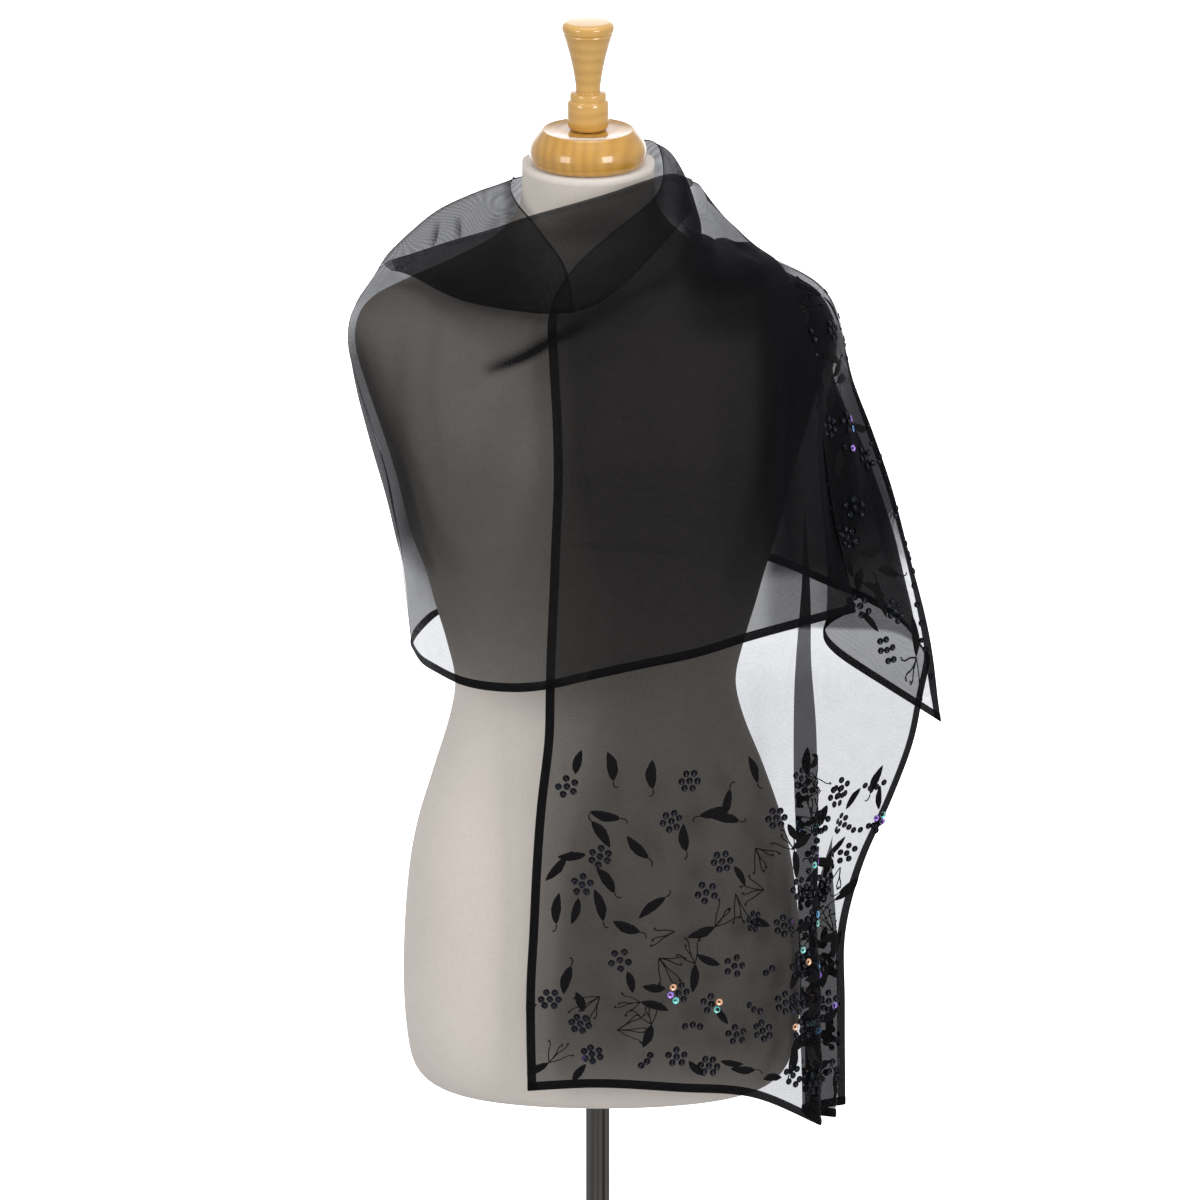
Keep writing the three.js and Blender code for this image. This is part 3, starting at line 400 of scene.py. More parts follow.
# folds that join two stretches
foot_line = np.stack([chest_grid[-1][:, 0], np.interp(chest_grid[-1][:, 0], foot[order, 0], foot[order, 1]), np.interp(chest_grid[-1][:, 0], foot[order, 0], foot[order, 2])], -1)
down = unit(chest_grid[-1] - chest_grid[-4])
foot_fold = bridge(chest_grid[-1], down, foot_line, down, 5)
top_a = cowl_grid[0]
run = lengths(top_a) / lengths(top_a)[-1]
top_b = at_share(top_edge, run)
up_a = unit(cowl_grid[0] - cowl_grid[3])
wrap_in = wrap_grid[top_part, 3]
up_b = unit(top_b - at_share(wrap_in, run))
top_fold = bridge(top_a, up_a, top_b, up_b, 7)
edge_a = side_grid[:, 0]
edge_b = side_edge
out_a = unit(side_grid[:, 0] - side_grid[:, 2])
wrap_back = wrap_grid[-4]
back_b = np.stack([np.interp(side_grid[:, 0, 2], wrap_back[np.argsort(wrap_back[:, 2]), 2], wrap_back[np.argsort(wrap_back[:, 2]), k]) for k in range(3)], -1)
out_b = unit(edge_b - back_b)
side_fold = bridge(edge_a, out_a, edge_b, out_b, 5)
GRIDS["foot_fold"] = np.concatenate([chest_grid[-1:], foot_fold, foot_line[None]])
GRIDS["top_fold"] = np.concatenate([top_a[None], top_fold, top_b[None]])
GRIDS["side_fold"] = np.concatenate([edge_a[None], side_fold, edge_b[None]])


# ---------------------------------------------------------------- helpers for meshes and materials
def mesh_object(name, verts, faces, mats, smooth_faces=True, face_mats=None):
    me = bpy.data.meshes.new(name)
    v = np.asarray(verts, float).copy()
    v[:, 0] += SHIFT_X
    me.from_pydata((v * MM).tolist(), [], [list(map(int, f)) for f in faces])
    for m in mats:
        me.materials.append(m)
    if face_mats is not None:
        me.polygons.foreach_set("material_index", list(face_mats))
    me.polygons.foreach_set("use_smooth", [smooth_faces] * len(me.polygons))
    me.update()
    ob = bpy.data.objects.new(name, me)
    bpy.context.scene.collection.objects.link(ob)
    return ob


def grid_faces(nu, nv, start=0, flip=False):
    i, j = np.meshgrid(np.arange(nu - 1), np.arange(nv - 1), indexing="ij")
    a = start + i * nv + j
    f = np.stack([a, a + nv, a + nv + 1, a + 1], -1).reshape(-1, 4)
    return f[:, ::-1] if flip else f


def add_float(ob, name, values):
    at = ob.data.attributes.new(name, "FLOAT", "POINT")
    at.data.foreach_set("value", np.asarray(values, np.float32))


def material(name):
    m = bpy.data.materials.new(name)
    m.use_nodes = True
    t = m.node_tree
    t.nodes.clear()
    out = t.nodes.new("ShaderNodeOutputMaterial")
    p = t.nodes.new("ShaderNodeBsdfPrincipled")
    t.links.new(p.outputs[0], out.inputs[0])
    return m, t, p


def node(t, kind, inputs=None, **props):
    n = t.nodes.new(kind)
    for k, v in props.items():
        setattr(n, k, v)
    for k, v in (inputs or {}).items():
        n.inputs[k].default_value = v
    return n


def ramp(t, src, stops):
    r = t.nodes.new("ShaderNodeValToRGB")
    e = r.color_ramp.elements
    while len(e) < len(stops):
        e.new(0.5)
    for el, (pos, col) in zip(e, stops):
        el.position = pos
        el.color = (*col, 1.0)
    t.links.new(src, r.inputs[0])
    return r.outputs[0]


def maths(t, op, a, b=None, c=None):
    n = t.nodes.new("ShaderNodeMath")
    n.operation = op
    for k, v in enumerate((a, b, c)):
        if v is None:
            continue
        if isinstance(v, (int, float)):
            n.inputs[k].default_value = v
        else:
            t.links.new(v, n.inputs[k])
    return n.outputs[0]


def bump(t, p, height, strength, distance):
    b = t.nodes.new("ShaderNodeBump")
    b.inputs["Strength"].default_value = strength
    b.inputs["Distance"].default_value = distance
    t.links.new(height, b.inputs["Height"])
    t.links.new(b.outputs[0], p.inputs["Normal"])


def weave(t, coords, pitch, turn=0.0):
    """Height of a plain weave with the given thread pitch in metres, from 2-D coordinates."""
    m = node(t, "ShaderNodeMapping")
    m.inputs["Scale"].default_value = (1 / pitch, 1 / pitch, 1 / pitch)
    m.inputs["Rotation"].default_value = (0, 0, turn)
    t.links.new(coords, m.inputs["Vector"])
    s = node(t, "ShaderNodeSeparateXYZ")
    t.links.new(m.outputs[0], s.inputs[0])
    x = maths(t, "SINE", maths(t, "MULTIPLY", s.outputs[0], math.pi))
    y = maths(t, "SINE", maths(t, "MULTIPLY", s.outputs[1], math.pi))
    return maths(t, "ABSOLUTE", maths(t, "MULTIPLY", x, y)), s


# ---------------------------------------------------------------- materials
def tulle_material(name, dense, hem=False):
    m, t, p = material(name)
    uv = node(t, "ShaderNodeUVMap", uv_map="cloth")
    w, s = weave(t, uv.outputs[0], 0.0011)
    noise = node(t, "ShaderNodeTexNoise", {"Scale": 60.0, "Detail": 3.0, "Roughness": 0.6})
    t.links.new(uv.outputs[0], noise.inputs["Vector"])
    fine = node(t, "ShaderNodeTexNoise", {"Scale": 620.0, "Detail": 2.0, "Roughness": 0.7})
    t.links.new(uv.outputs[0], fine.inputs["Vector"])
    col = ramp(t, fine.outputs[0], [(0.3, (0.0012, 0.0012, 0.0018)), (0.55, (0.0025, 0.0025, 0.0032)), (0.75, (0.008, 0.008, 0.010))])
    t.links.new(col, p.inputs["Base Color"])
    p.inputs["Roughness"].default_value = 0.6
    p.inputs["Specular IOR Level"].default_value = 0.05
    p.inputs["Sheen Weight"].default_value = 0.015
    p.inputs["Sheen Roughness"].default_value = 0.4
    p.inputs["Sheen Tint"].default_value = (0.8, 0.85, 1.0, 1)
    dens = node(t, "ShaderNodeAttribute", attribute_name="dens")
    a = maths(t, "MULTIPLY_ADD", fine.outputs[0], 0.22 if hem else 0.15, dense - (0.11 if hem else 0.075))
    a = maths(t, "MULTIPLY_ADD", noise.outputs[0], 0.05, maths(t, "SUBTRACT", a, 0.025))
    a = maths(t, "ADD", a, dens.outputs["Fac"])
    # the interference of two weaves, seen as wandering wood-grain bands
    co = node(t, "ShaderNodeTexCoord")
    slow = node(t, "ShaderNodeTexNoise", {"Scale": 9.0, "Detail": 1.0, "Roughness": 0.4})
    t.links.new(co.outputs["Object"], slow.inputs["Vector"])
    place = node(t, "ShaderNodeSeparateXYZ")
    t.links.new(co.outputs["Object"], place.inputs[0])
    turns = maths(t, "MULTIPLY_ADD", slow.outputs[0], 280.0, maths(t, "MULTIPLY_ADD", place.outputs[0], 420.0, maths(t, "MULTIPLY", place.outputs[2], 760.0)))
    mo = node(t, "ShaderNodeAttribute", attribute_name="moire")
    a = maths(t, "MULTIPLY_ADD", maths(t, "SINE", turns), mo.outputs["Fac"], a)
    n = node(t, "ShaderNodeClamp")
    n.inputs["Min"].default_value = 0.3
    n.inputs["Max"].default_value = 0.985
    t.links.new(a, n.inputs["Value"])
    t.links.new(n.outputs[0], p.inputs["Alpha"])
    h = maths(t, "ADD", w, maths(t, "MULTIPLY", fine.outputs[0], 0.6))
    bump(t, p, h, 0.35, 0.0004)
    return m


def linen_material():
    m, t, p = material("linen")
    co = node(t, "ShaderNodeTexCoord")
    uv = node(t, "ShaderNodeUVMap", uv_map="cloth")
    w, s = weave(t, uv.outputs[0], 0.0009)
    slub = node(t, "ShaderNodeTexNoise", {"Scale": 1.0, "Detail": 4.0, "Roughness": 0.65})
    mp = node(t, "ShaderNodeMapping")
    mp.inputs["Scale"].default_value = (60, 900, 1)
    t.links.new(uv.outputs[0], mp.inputs[0])
    t.links.new(mp.outputs[0], slub.inputs["Vector"])
    slub2 = node(t, "ShaderNodeTexNoise", {"Scale": 1.0, "Detail": 4.0, "Roughness": 0.65})
    mp2 = node(t, "ShaderNodeMapping")
    mp2.inputs["Scale"].default_value = (900, 60, 1)
    t.links.new(uv.outputs[0], mp2.inputs[0])
    t.links.new(mp2.outputs[0], slub2.inputs["Vector"])
    big = node(t, "ShaderNodeTexNoise", {"Scale": 7.0, "Detail": 3.0, "Roughness": 0.5})
    t.links.new(co.outputs["Object"], big.inputs["Vector"])
    mixv = maths(t, "MULTIPLY_ADD", slub.outputs[0], 0.4, maths(t, "MULTIPLY_ADD", slub2.outputs[0], 0.4, maths(t, "MULTIPLY", big.outputs[0], 0.3)))
    col = ramp(t, mixv, [(0.35, (0.56, 0.505, 0.45)), (0.55, (0.62, 0.565, 0.51)), (0.75, (0.67, 0.615, 0.56))])
    t.links.new(col, p.inputs["Base Color"])
    p.inputs["Roughness"].default_value = 0.88
    p.inputs["Specular IOR Level"].default_value = 0.2
    p.inputs["Sheen Weight"].default_value = 0.12
    p.inputs["Sheen Roughness"].default_value = 0.5
    bump(t, p, maths(t, "MULTIPLY_ADD", slub.outputs[0], 0.7, maths(t, "MULTIPLY_ADD", slub2.outputs[0], 0.7, w)), 0.35, 0.00035)
    return m


def wood_material(name, light, dark, across):
    m, t, p = material(name)
    co = node(t, "ShaderNodeTexCoord")
    mp = node(t, "ShaderNodeMapping")
    mp.inputs["Scale"].default_value = (1, 1, 1)
    mp.inputs["Rotation"].default_value = across
    t.links.new(co.outputs["Object"], mp.inputs[0])
    warp = node(t, "ShaderNodeTexNoise", {"Scale": 14.0, "Detail": 2.0})
    t.links.new(mp.outputs[0], warp.inputs["Vector"])
    wv = node(t, "ShaderNodeTexWave", {"Scale": 34.0, "Distortion": 3.0, "Detail": 2.0, "Detail Scale": 0.8}, wave_type="BANDS", bands_direction="X")
    t.links.new(mp.outputs[0], wv.inputs["Vector"])
    pore = node(t, "ShaderNodeTexNoise", {"Scale": 1.0, "Detail": 3.0})
    mp2 = node(t, "ShaderNodeMapping")
    mp2.inputs["Scale"].default_value = (900, 900, 60)
    mp2.inputs["Rotation"].default_value = across
    t.links.new(co.outputs["Object"], mp2.inputs[0])
    t.links.new(mp2.outputs[0], pore.inputs["Vector"])
    v = maths(t, "MULTIPLY_ADD", wv.outputs["Fac"], 0.26, maths(t, "MULTIPLY_ADD", pore.outputs[0], 0.25, maths(t, "MULTIPLY", warp.outputs[0], 0.3)))
    col = ramp(t, v, [(0.15, dark), (0.5, light), (0.9, tuple(min(c * 1.12, 1) for c in light))])
    t.links.new(col, p.inputs["Base Color"])
    p.inputs["Roughness"].default_value = 0.32
    p.inputs["Coat Weight"].default_value = 0.9
    p.inputs["Coat Roughness"].default_value = 0.07
    bump(t, p, v, 0.08, 0.0004)
    return m


def metal_material(name, base, rough, grain_and_highlight_streaks=(300, 300, 12), low=0.9):
    m, t, p = material(name)
    co = node(t, "ShaderNodeTexCoord")
    mp = node(t, "ShaderNodeMapping")
    mp.inputs["Scale"].default_value = grain_and_highlight_streaks
    t.links.new(co.outputs["Object"], mp.inputs[0])
    sc = node(t, "ShaderNodeTexNoise", {"Scale": 1.0, "Detail": 4.0})
    t.links.new(mp.outputs[0], sc.inputs["Vector"])
    # Base colour runs from base*low to base along a stretched noise: a faint brushed grain on the base; on the pole,
    # with low at 0.10, the strong vertical dark and light streaks are painted reflection streaks.
    col = ramp(t, sc.outputs[0], [(0.38, tuple(c * low for c in base)), (0.66, base)])
    t.links.new(col, p.inputs["Base Color"])
    p.inputs["Metallic"].default_value = 1.0
    r = maths(t, "MULTIPLY_ADD", sc.outputs[0], 0.10, rough - 0.05)
    t.links.new(r, p.inputs["Roughness"])
    bump(t, p, sc.outputs[0], 0.04, 0.0002)
    return m


TULLE = tulle_material("tulle", 0.615)
HEM = tulle_material("tulle_hem", 0.86, hem=True)
LINEN = linen_material()
WOOD_CAP = wood_material("varnished_wood_cap", (0.50, 0.262, 0.040), (0.41, 0.198, 0.027), (0, 0, 0.35))
WOOD_KNOB = wood_material("varnished_wood_knob", (0.60, 0.345, 0.083), (0.51, 0.275, 0.058), (0, math.pi / 2, 0.2))
# the pole's vertical dark and light streaks in its base colour are painted reflection streaks
STEEL = metal_material("polished_steel", (0.20, 0.19, 0.175), 0.12, (170, 170, 0.5), 0.10)
STEEL_BASE = metal_material("brushed_base", (0.52, 0.53, 0.55), 0.26)

# ---------------------------------------------------------------- the form and its stand
def ring_points(table_rows, n):
    """Smooth rings of the padded form."""
    A = np.array(table_rows, float)
    t = by_ring(A)
    R = cr(A, t)
    th = np.linspace(0, 2 * math.pi, n, endpoint=False)
    c, s = np.cos(th), np.sin(th)
    out = []
    for z, a, cx, bf, bb, e in R:
        x = cx + a * np.sign(s) * np.abs(s) ** (2 / e)
        y = -np.where(c > 0, bf, bb) * np.sign(c) * np.abs(c) ** (2 / e)
        lean = max(0.0, (z - 1256) / (NECK_Z - 1256))
        out.append(np.stack([x, y, z + lean * math.tan(NECK_LEAN) * (y - NECK_Y)], -1))
    return np.array(out)


def by_ring(A):
    seg = np.linalg.norm(np.diff(A[:, [0, 1]], axis=0), axis=1)
    run = np.concatenate([[0], np.cumsum(seg)])
    return np.interp(np.linspace(0, run[-1], 170), run, np.linspace(0, 1, len(A)))


def form_body():
    n = 128
    A = [list(r[1:]) for r in FORM]
    g = ring_points(A, n)
    nu = len(g)
    verts = g.reshape(-1, 3).tolist()
    faces = []
    for i in range(nu - 1):
        for k in range(n):
            a, b = i * n + k, i * n + (k + 1) % n
            faces.append((a, b, b + n, a + n))
    # underside and top close in rings
    for ring, up in ((0, False), (nu - 1, True)):
        base = g[ring]
        c = base.mean(0)
        prev = [ring * n + k for k in range(n)]
        for f in (0.6, 0.25):
            cur = len(verts)
            verts += (c + (base - c) * f).tolist()
            for k in range(n):
                q = (prev[k], prev[(k + 1) % n], cur + (k + 1) % n, cur + k)
                faces.append(q if up else q[::-1])
            prev = [cur + k for k in range(n)]
        verts.append(c.tolist())
        for k in range(n):
            q = (prev[k], prev[(k + 1) % n], len(verts) - 1)
            faces.append(q if up else q[::-1])
    ob = mesh_object("form_body", np.array(verts), faces, [LINEN])
    uv = ob.data.uv_layers.new(name="cloth")
    co = np.array(verts)
    # flat coordinates for the cover's weave: round the body and up it
    th = np.arctan2(co[:, 0], -co[:, 1])
    for poly in ob.data.polygons:
        t0 = th[poly.vertices[0]]
        for li, vi in zip(poly.loop_indices, poly.vertices):
            tt = th[vi]
            if tt - t0 > math.pi:
                tt -= 2 * math.pi
            if t0 - tt > math.pi:
                tt += 2 * math.pi
            uv.data[li].uv = (tt * 0.15, co[vi, 2] * MM)
    return ob


def lathe(name, profile, n, mats, place, bevel=True):
    """Turned shape from a profile of (radius, height), in millimetres."""
    prof = np.array(profile, float)
    verts, faces = [], []
    for r, h in prof:
        if r < 1e-6:
            verts.append((0.0, 0.0, h))
        else:
            for k in range(n):
                a = 2 * math.pi * k / n
                verts.append((r * math.cos(a), r * math.sin(a), h))
    idx, at = [], 0
    for r, h in prof:
        idx.append(at)
        at += 1 if r < 1e-6 else n
    for i in range(len(prof) - 1):
        a0, b0 = idx[i], idx[i + 1]
        ra, rb = prof[i, 0] < 1e-6, prof[i + 1, 0] < 1e-6
        for k in range(n):
            k2 = (k + 1) % n
            if ra and rb:
                continue
            if ra:
                faces.append((a0, b0 + k2, b0 + k))
            elif rb:
                faces.append((a0 + k, a0 + k2, b0))
            else:
                faces.append((a0 + k, a0 + k2, b0 + k2, b0 + k))
    v = np.array(verts)
    v = place(v)
    return mesh_object(name, v, faces, mats)


def rounded(profile, r=0.8, steps=3):
    """Rounds the corners of a profile by small arcs."""
    P = np.array(profile, float)
    out = [P[0]]
    for i in range(1, len(P) - 1):
        a, b, c = P[i - 1], P[i], P[i + 1]
        u, w = a - b, c - b
        lu, lw = np.linalg.norm(u), np.linalg.norm(w)
        d = min(r, lu * 0.4, lw * 0.4)
        p0, p1 = b + u / lu * d, b + w / lw * d
        for k in range(steps + 1):
            s = k / steps
            out.append((1 - s) ** 2 * p0 + 2 * s * (1 - s) * b + s * s * p1)
    out.append(P[-1])
    return np.array(out)


def on_neck(height):
    c, s = math.cos(NECK_LEAN), math.sin(NECK_LEAN)

    def place(v):
        z = v[:, 2] + height
        y = v[:, 1]
        return np.stack([v[:, 0] + NECK_X, y * c - z * s + NECK_Y, y * s + z * c + NECK_Z], -1)
    return place


def smooth_profile(points, n):
    P = np.array(points, float)
    run = lengths(np.column_stack([P, np.zeros(len(P))]))
    return cr(P, np.interp(np.linspace(0, run[-1], n), run, np.linspace(0, 1, len(P))))


flat = lambda v: v
cap_edge = smooth_profile([(44, 0.0), (47.6, 2.2), (49.2, 6), (49.5, 9.5), (49.2, 13.5), (47.6, 18), (44.6, 22.6), (41, 27), (39.2, 29.2)], 40)
CAP = np.array([[0, 0], *cap_edge.tolist(), [38.3, 30.0], [37.2, 30.0], [36.4, 29.6], [20, 29.6], [0, 29.6]])
knob = smooth_profile([(10.3, 32.2), (11.0, 40), (12.6, 50), (15.2, 62), (18.2, 73), (20.3, 80)], 26)
FINIAL = rounded([[0, 0.0], [15.2, 0.0], [17.0, 2.5], [17.5, 6.5], [17.5, 21.5], [16.8, 24.0], [15.2, 24.4], [15.4, 28], [15.0, 31.2], [11.2, 31.8], *knob.tolist(), [20.9, 81.2], [20.2, 82.4], [21.6, 83.6], [22.0, 86.0], [21.8, 88.6], [20.4, 90.6], [17.8, 91.6], [0, 92.0]], 0.7, 3)
BASE = rounded([[0, 0], [BASE_R - 2, 0], [BASE_R, 2], [BASE_R, BASE_H - 6], [BASE_R - 2, BASE_H - 3], [BASE_R - 8, BASE_H], [HUB_R + 5, BASE_H], [HUB_R + 1, BASE_H + 1.5], [HUB_R, BASE_H + 5], [HUB_R, HUB_H - 4], [HUB_R - 4, HUB_H], [POLE_R + 1.5, HUB_H], [0, HUB_H]], 1.5, 4)
body = form_body()
cap = lathe("wooden_cap", CAP, 96, [WOOD_CAP], on_neck(GAP))
finial = lathe("wooden_finial", FINIAL, 72, [WOOD_KNOB], on_neck(GAP * 2 + CAP_H))
pole = lathe("steel_pole", rounded([[0, HUB_H + GAP], [POLE_R, HUB_H + GAP], [POLE_R, HUB_H + 20], [POLE_R, FORM_BOTTOM - 30], [POLE_R, FORM_BOTTOM - GAP], [0, FORM_BOTTOM - GAP]], 0.6, 3), 64, [STEEL], flat)
base = lathe("steel_base", BASE, 128, [STEEL_BASE], flat)

# ---------------------------------------------------------------- creases
# stretch, side of the body it is seen from, width, depth, density added at its middle, and its line as (x, z) in millimetres
CREASES = [
    ("wrap", "front", 4, 1.6, 0.05, [(-31, 1015), (20, 1013), (77, 1007)]),
    ("wrap", "front", 5.2, 3.5, 0.31, [(-95, 1155), (-84, 1160), (-60, 1170), (-38, 1182), (-8, 1195)]),
    ("wrap", "front", 7, 5.5, 0.18, [(-90, 1159), (-67, 1167), (-40, 1181), (2, 1201), (43, 1224), (72, 1233)]),
    ("wrap", "front", 6, 3, 0.08, [(-164, 1240), (-111, 1212), (-62, 1202), (-19, 1199), (26, 1226), (71, 1272)]),
    ("wrap", "front", 9, 5, 0.05, [(85, 1283), (74, 1245), (35, 1204), (-26, 1183)]),
    ("wrap", "front", 22, 4, 0.035, [(-34, 1173), (-76, 1117), (-111, 1018)]),
    ("wrap", "front", 12, 5, 0.07, [(-162, 1192), (-168, 1108), (-153, 989)]),
    ("wrap", "front", 9, 3.5, 0.05, [(-131, 1211), (-139, 1144), (-127, 1044)]),
    ("wrap", "front", 26, 4, 0.02, [(35, 1183), (45, 1093), (35, 960)]),
    ("wrap", "front", 18, 5, 0.04, [(137, 1213), (119, 1114), (113, 981)]),
    ("wrap", "front", 11, 6, 0.06, [(169, 1177), (161, 1085), (168, 958)]),
    ("wrap", "front", 6, 3, 0.08, [(191, 1101), (200, 1025), (209, 954)]),
    ("wrap", "front", 16, 4, 0.03, [(-1, 1175), (-14, 1117), (-6, 1051)]),
    ("chest", "front", 3.2, 4, 0.26, [(-136, 1272), (-140, 1251)]),
    ("chest", "front", 3.2, 4, 0.26, [(-119, 1276), (-117, 1258)]),
    ("chest", "front", 6, 3, 0.1, [(-81, 1280), (-93, 1265)]),
    ("long", "front", 28, 3, 0.02, [(2, 868), (5, 715), (0, 565)]),
    ("long", "front", 20, 4, 0.025, [(85, 908), (79, 730), (88, 558)]),
    ("long", "front", 12, 4, 0.045, [(134, 904), (140, 725), (134, 547)]),
    ("long", "front", 16, 3, 0.02, [(-31, 833), (-19, 715), (-27, 578)]),
    ("side", "front", 7, 4, 0.07, [(209, 1146), (236, 1046), (259, 935)]),
    ("side", "front", 6, 4, 0.06, [(197, 1133), (211, 1023), (216, 920)]),
    ("side", "front", 5, 3, 0.05, [(244, 1019), (269, 932), (285, 863)]),
    ("long", "back", 22, 8, 0.05, [(-150, 1230), (-124, 1090), (-112, 960)]),
    ("long", "back", 26, 7, 0.03, [(-62, 1262), (-44, 1110), (-24, 975)]),
    ("long", "back", 18, 8, 0.05, [(42, 1245), (54, 1110), (30, 985)]),
    ("long", "back", 10, 5, 0.1, [(-12, 1304), (-2, 1240), (-8, 1190)]),
    ("long", "back", 12, 8, 0.07, [(104, 1160), (122, 1050), (112, 965)]),
    ("long", "back", 9, 6, 0.08, [(-184, 1150), (-166, 1000), (-158, 930)]),
    ("long", "back", 7, 5, 0.12, [(60, 1290), (92, 1230), (110, 1180)]),
    ("long", "back", 14, 5, 0.04, [(-100, 1270), (-84, 1170), (-70, 1060)]),
    ("long", "back", 8, 5, 0.12, [(-176, 1020), (-150, 950), (-138, 925)]),
    ("long", "back", 7, 5, 0.12, [(-170, 980), (-142, 938), (-130, 925)]),
]


def apply_creases(key, g):
    n = outward(g)
    dens = np.zeros(g.shape[:2])
    out = g.copy()
    for name, side, width, depth, dark, line in CREASES:
        if name != key:
            continue
        L = cr(np.array(line, float), np.linspace(0, 1, 24))
        p = g[..., [0, 2]]
        best = np.full(g.shape[:2], 1e9)
        share = np.zeros(g.shape[:2])
        sign = np.ones(g.shape[:2])
        for i in range(len(L) - 1):
            a, b = L[i], L[i + 1]
            ab = b - a
            w = np.clip(((p - a) @ ab) / (ab @ ab), 0, 1)
            d = p - (a + w[..., None] * ab)
            dist = np.hypot(d[..., 0], d[..., 1])
            m = dist < best
            best = np.where(m, dist, best)
            share = np.where(m, (i + w) / (len(L) - 1), share)
            sign = np.where(m, np.sign(ab[0] * d[..., 1] - ab[1] * d[..., 0]), sign)
        ends = np.sin(np.clip(share, 0, 1) * math.pi) ** 0.6
        facing = np.clip(-n[..., 1] * (1 if side == "front" else -1) * 2 + 0.4, 0, 1)
        t = best / width
        shape = np.exp(-t * t) - 0.5 * np.exp(-((t - 1.7) ** 2) * 1.6) * (sign > 0)
        out += n * (-depth * shape * ends * facing)[..., None]
        dens += dark * np.exp(-(t * 1.3) ** 2) * ends * facing
    return out, dens


# ---------------------------------------------------------------- the stole
def soft_noise(g, amp, size, seed):
    """Small slow waves so that no panel is ruled."""
    rng = np.random.default_rng(seed)
    w = np.zeros(g.shape[:2])
    for k in range(7):
        d = unit(rng.normal(size=3))
        w += np.sin((g @ d) * 2 * math.pi / (size * rng.uniform(0.6, 1.7)) + rng.uniform(0, 6.28)) / 7
    return g + outward(g) * (amp * w)[..., None]


def edge_band(g, edge, width):
    """1 at an edge of a sheet, falling off over a width."""
    h = {"u0": g, "u1": g[::-1], "v0": np.swapaxes(g, 0, 1), "v1": np.swapaxes(g, 0, 1)[::-1]}[edge]
    step = np.linalg.norm(np.diff(h, axis=0), axis=2)
    run = np.concatenate([np.zeros((1, h.shape[1])), np.cumsum(step, 0)])
    w = np.exp(-(run / width) ** 2)
    return {"u0": w, "u1": w[::-1], "v0": np.swapaxes(w, 0, 1), "v1": np.swapaxes(w[::-1], 0, 1)}[edge]


def step(v, a, b):
    w = np.clip((v - a) / (b - a), 0, 1)
    return w * w * (3 - 2 * w)


# darker where the cloth turns edge-on or is pressed into a fold: stretch, edge, width, density
TURNS = [("long", "u1", 5.0, 0.20), ("wrap", "u0", 5.0, 0.20), ("chest", "u0", 4.0, 0.15), ("wrap", "v0", 3.0, 0.12), ("wrap", "u1", 4.5, 0.16), ("cowl", "u0", 3.0, 0.1), ("cowl", "u1", 3.0, 0.12)]
final, dens_all, moire_all = {}, {}, {}
for key, g in GRIDS.items():
    h, d = apply_creases(key, soft_noise(g, 0.8, 90.0, 5))
    for name, edge, width, more in TURNS:
        if name == key:
            d = d + more * edge_band(g, edge, width)
    if key == "long":
        d = d + 0.05 * np.clip((U_WRAP * 1.05 - us_long) / 0.06, 0, 1)[:, None]
    x, z = g[..., 0], g[..., 2]
    if key == "wrap":
        d = d + 0.30 * step(x, 132, 150) * step(z, 974, 992)
    if key in ("side", "side_fold"):
        d = d + 0.255 * step(z, 968, 1000)
    if key == "long":
        behind = (us_long > U_WRAP + 0.02)[:, None]
        d = d + (0.20 * step(x, 132, 152) + 0.05 * step(x, 184, 200)) * behind + 0.20 * step(x, 62, 86) * step(z, 1205, 1230)
    else:
        d = d + 0.20 * step(x, 64, 84) * step(z, 1222, 1245)
    d = d + 0.12 * step(x, 194, 206) * step(z, 1000, 1030)
    if key in ("wrap", "long"):
        d = d + 0.18 * step(-x - 133 - 0.345 * (z - 998), 0, 10) * (1 - step(z, 1150, 1200)) * step(z, 975, 1000)
    if key in ("wrap", "long"):
        d = d + 0.10 * step(x, 60, 110) * step(z, 1170, 1200)
    if key in ("chest", "long"):
        d = d + 0.15 * step(x, 28, 44) * step(z, 1255, 1285) + 0.09 * step(x, 26, 34) * (1 - step(x, 52, 60)) * step(z, 1262, 1290)
    if key == "long":
        d = d + 0.20 * step(x, -84, -76) * (1 - step(x, -60, -52)) * step(z, 1232, 1248)
    d = d + 0.055 * step(-x, 60, 78) * step(z, 1190, 1215)
    final[key], dens_all[key] = h, d
    m = np.full(g.shape[:2], 0.005)
    if key == "long":
        m += 0.022 * np.clip((g[..., 2] - 1190) / 40, 0, 1) * (us_long > U_NECK)[:, None]
    if key == "chest":
        m += 0.04
    if key == "side":
        m += 0.012
    moire_all[key] = m

verts, faces, dens, uvs, moire = [], [], [], [], []
start = 0
for key, g in final.items():
    nu, nv = g.shape[:2]
    verts.append(g.reshape(-1, 3))
    faces.append(grid_faces(nu, nv, start))
    dens.append(dens_all[key].reshape(-1))
    moire.append(moire_all[key].reshape(-1))
    u = lengths(g[:, nv // 2])
    v = np.array([lengths(r) for r in g])
    uvs.append(np.stack([v * MM, np.repeat(u[:, None], nv, 1) * MM], -1).reshape(-1, 2))
    start += nu * nv
verts, faces, dens, uvs = np.concatenate(verts), np.concatenate(faces), np.concatenate(dens), np.concatenate(uvs)
stole = mesh_object("stole", verts, faces, [TULLE])
add_float(stole, "dens", dens)
add_float(stole, "moire", np.concatenate(moire))
layer = stole.data.uv_layers.new(name="cloth")
loops = np.zeros(len(stole.data.loops), int)
stole.data.loops.foreach_get("vertex_index", loops)
layer.data.foreach_set("uv", uvs[loops].reshape(-1))


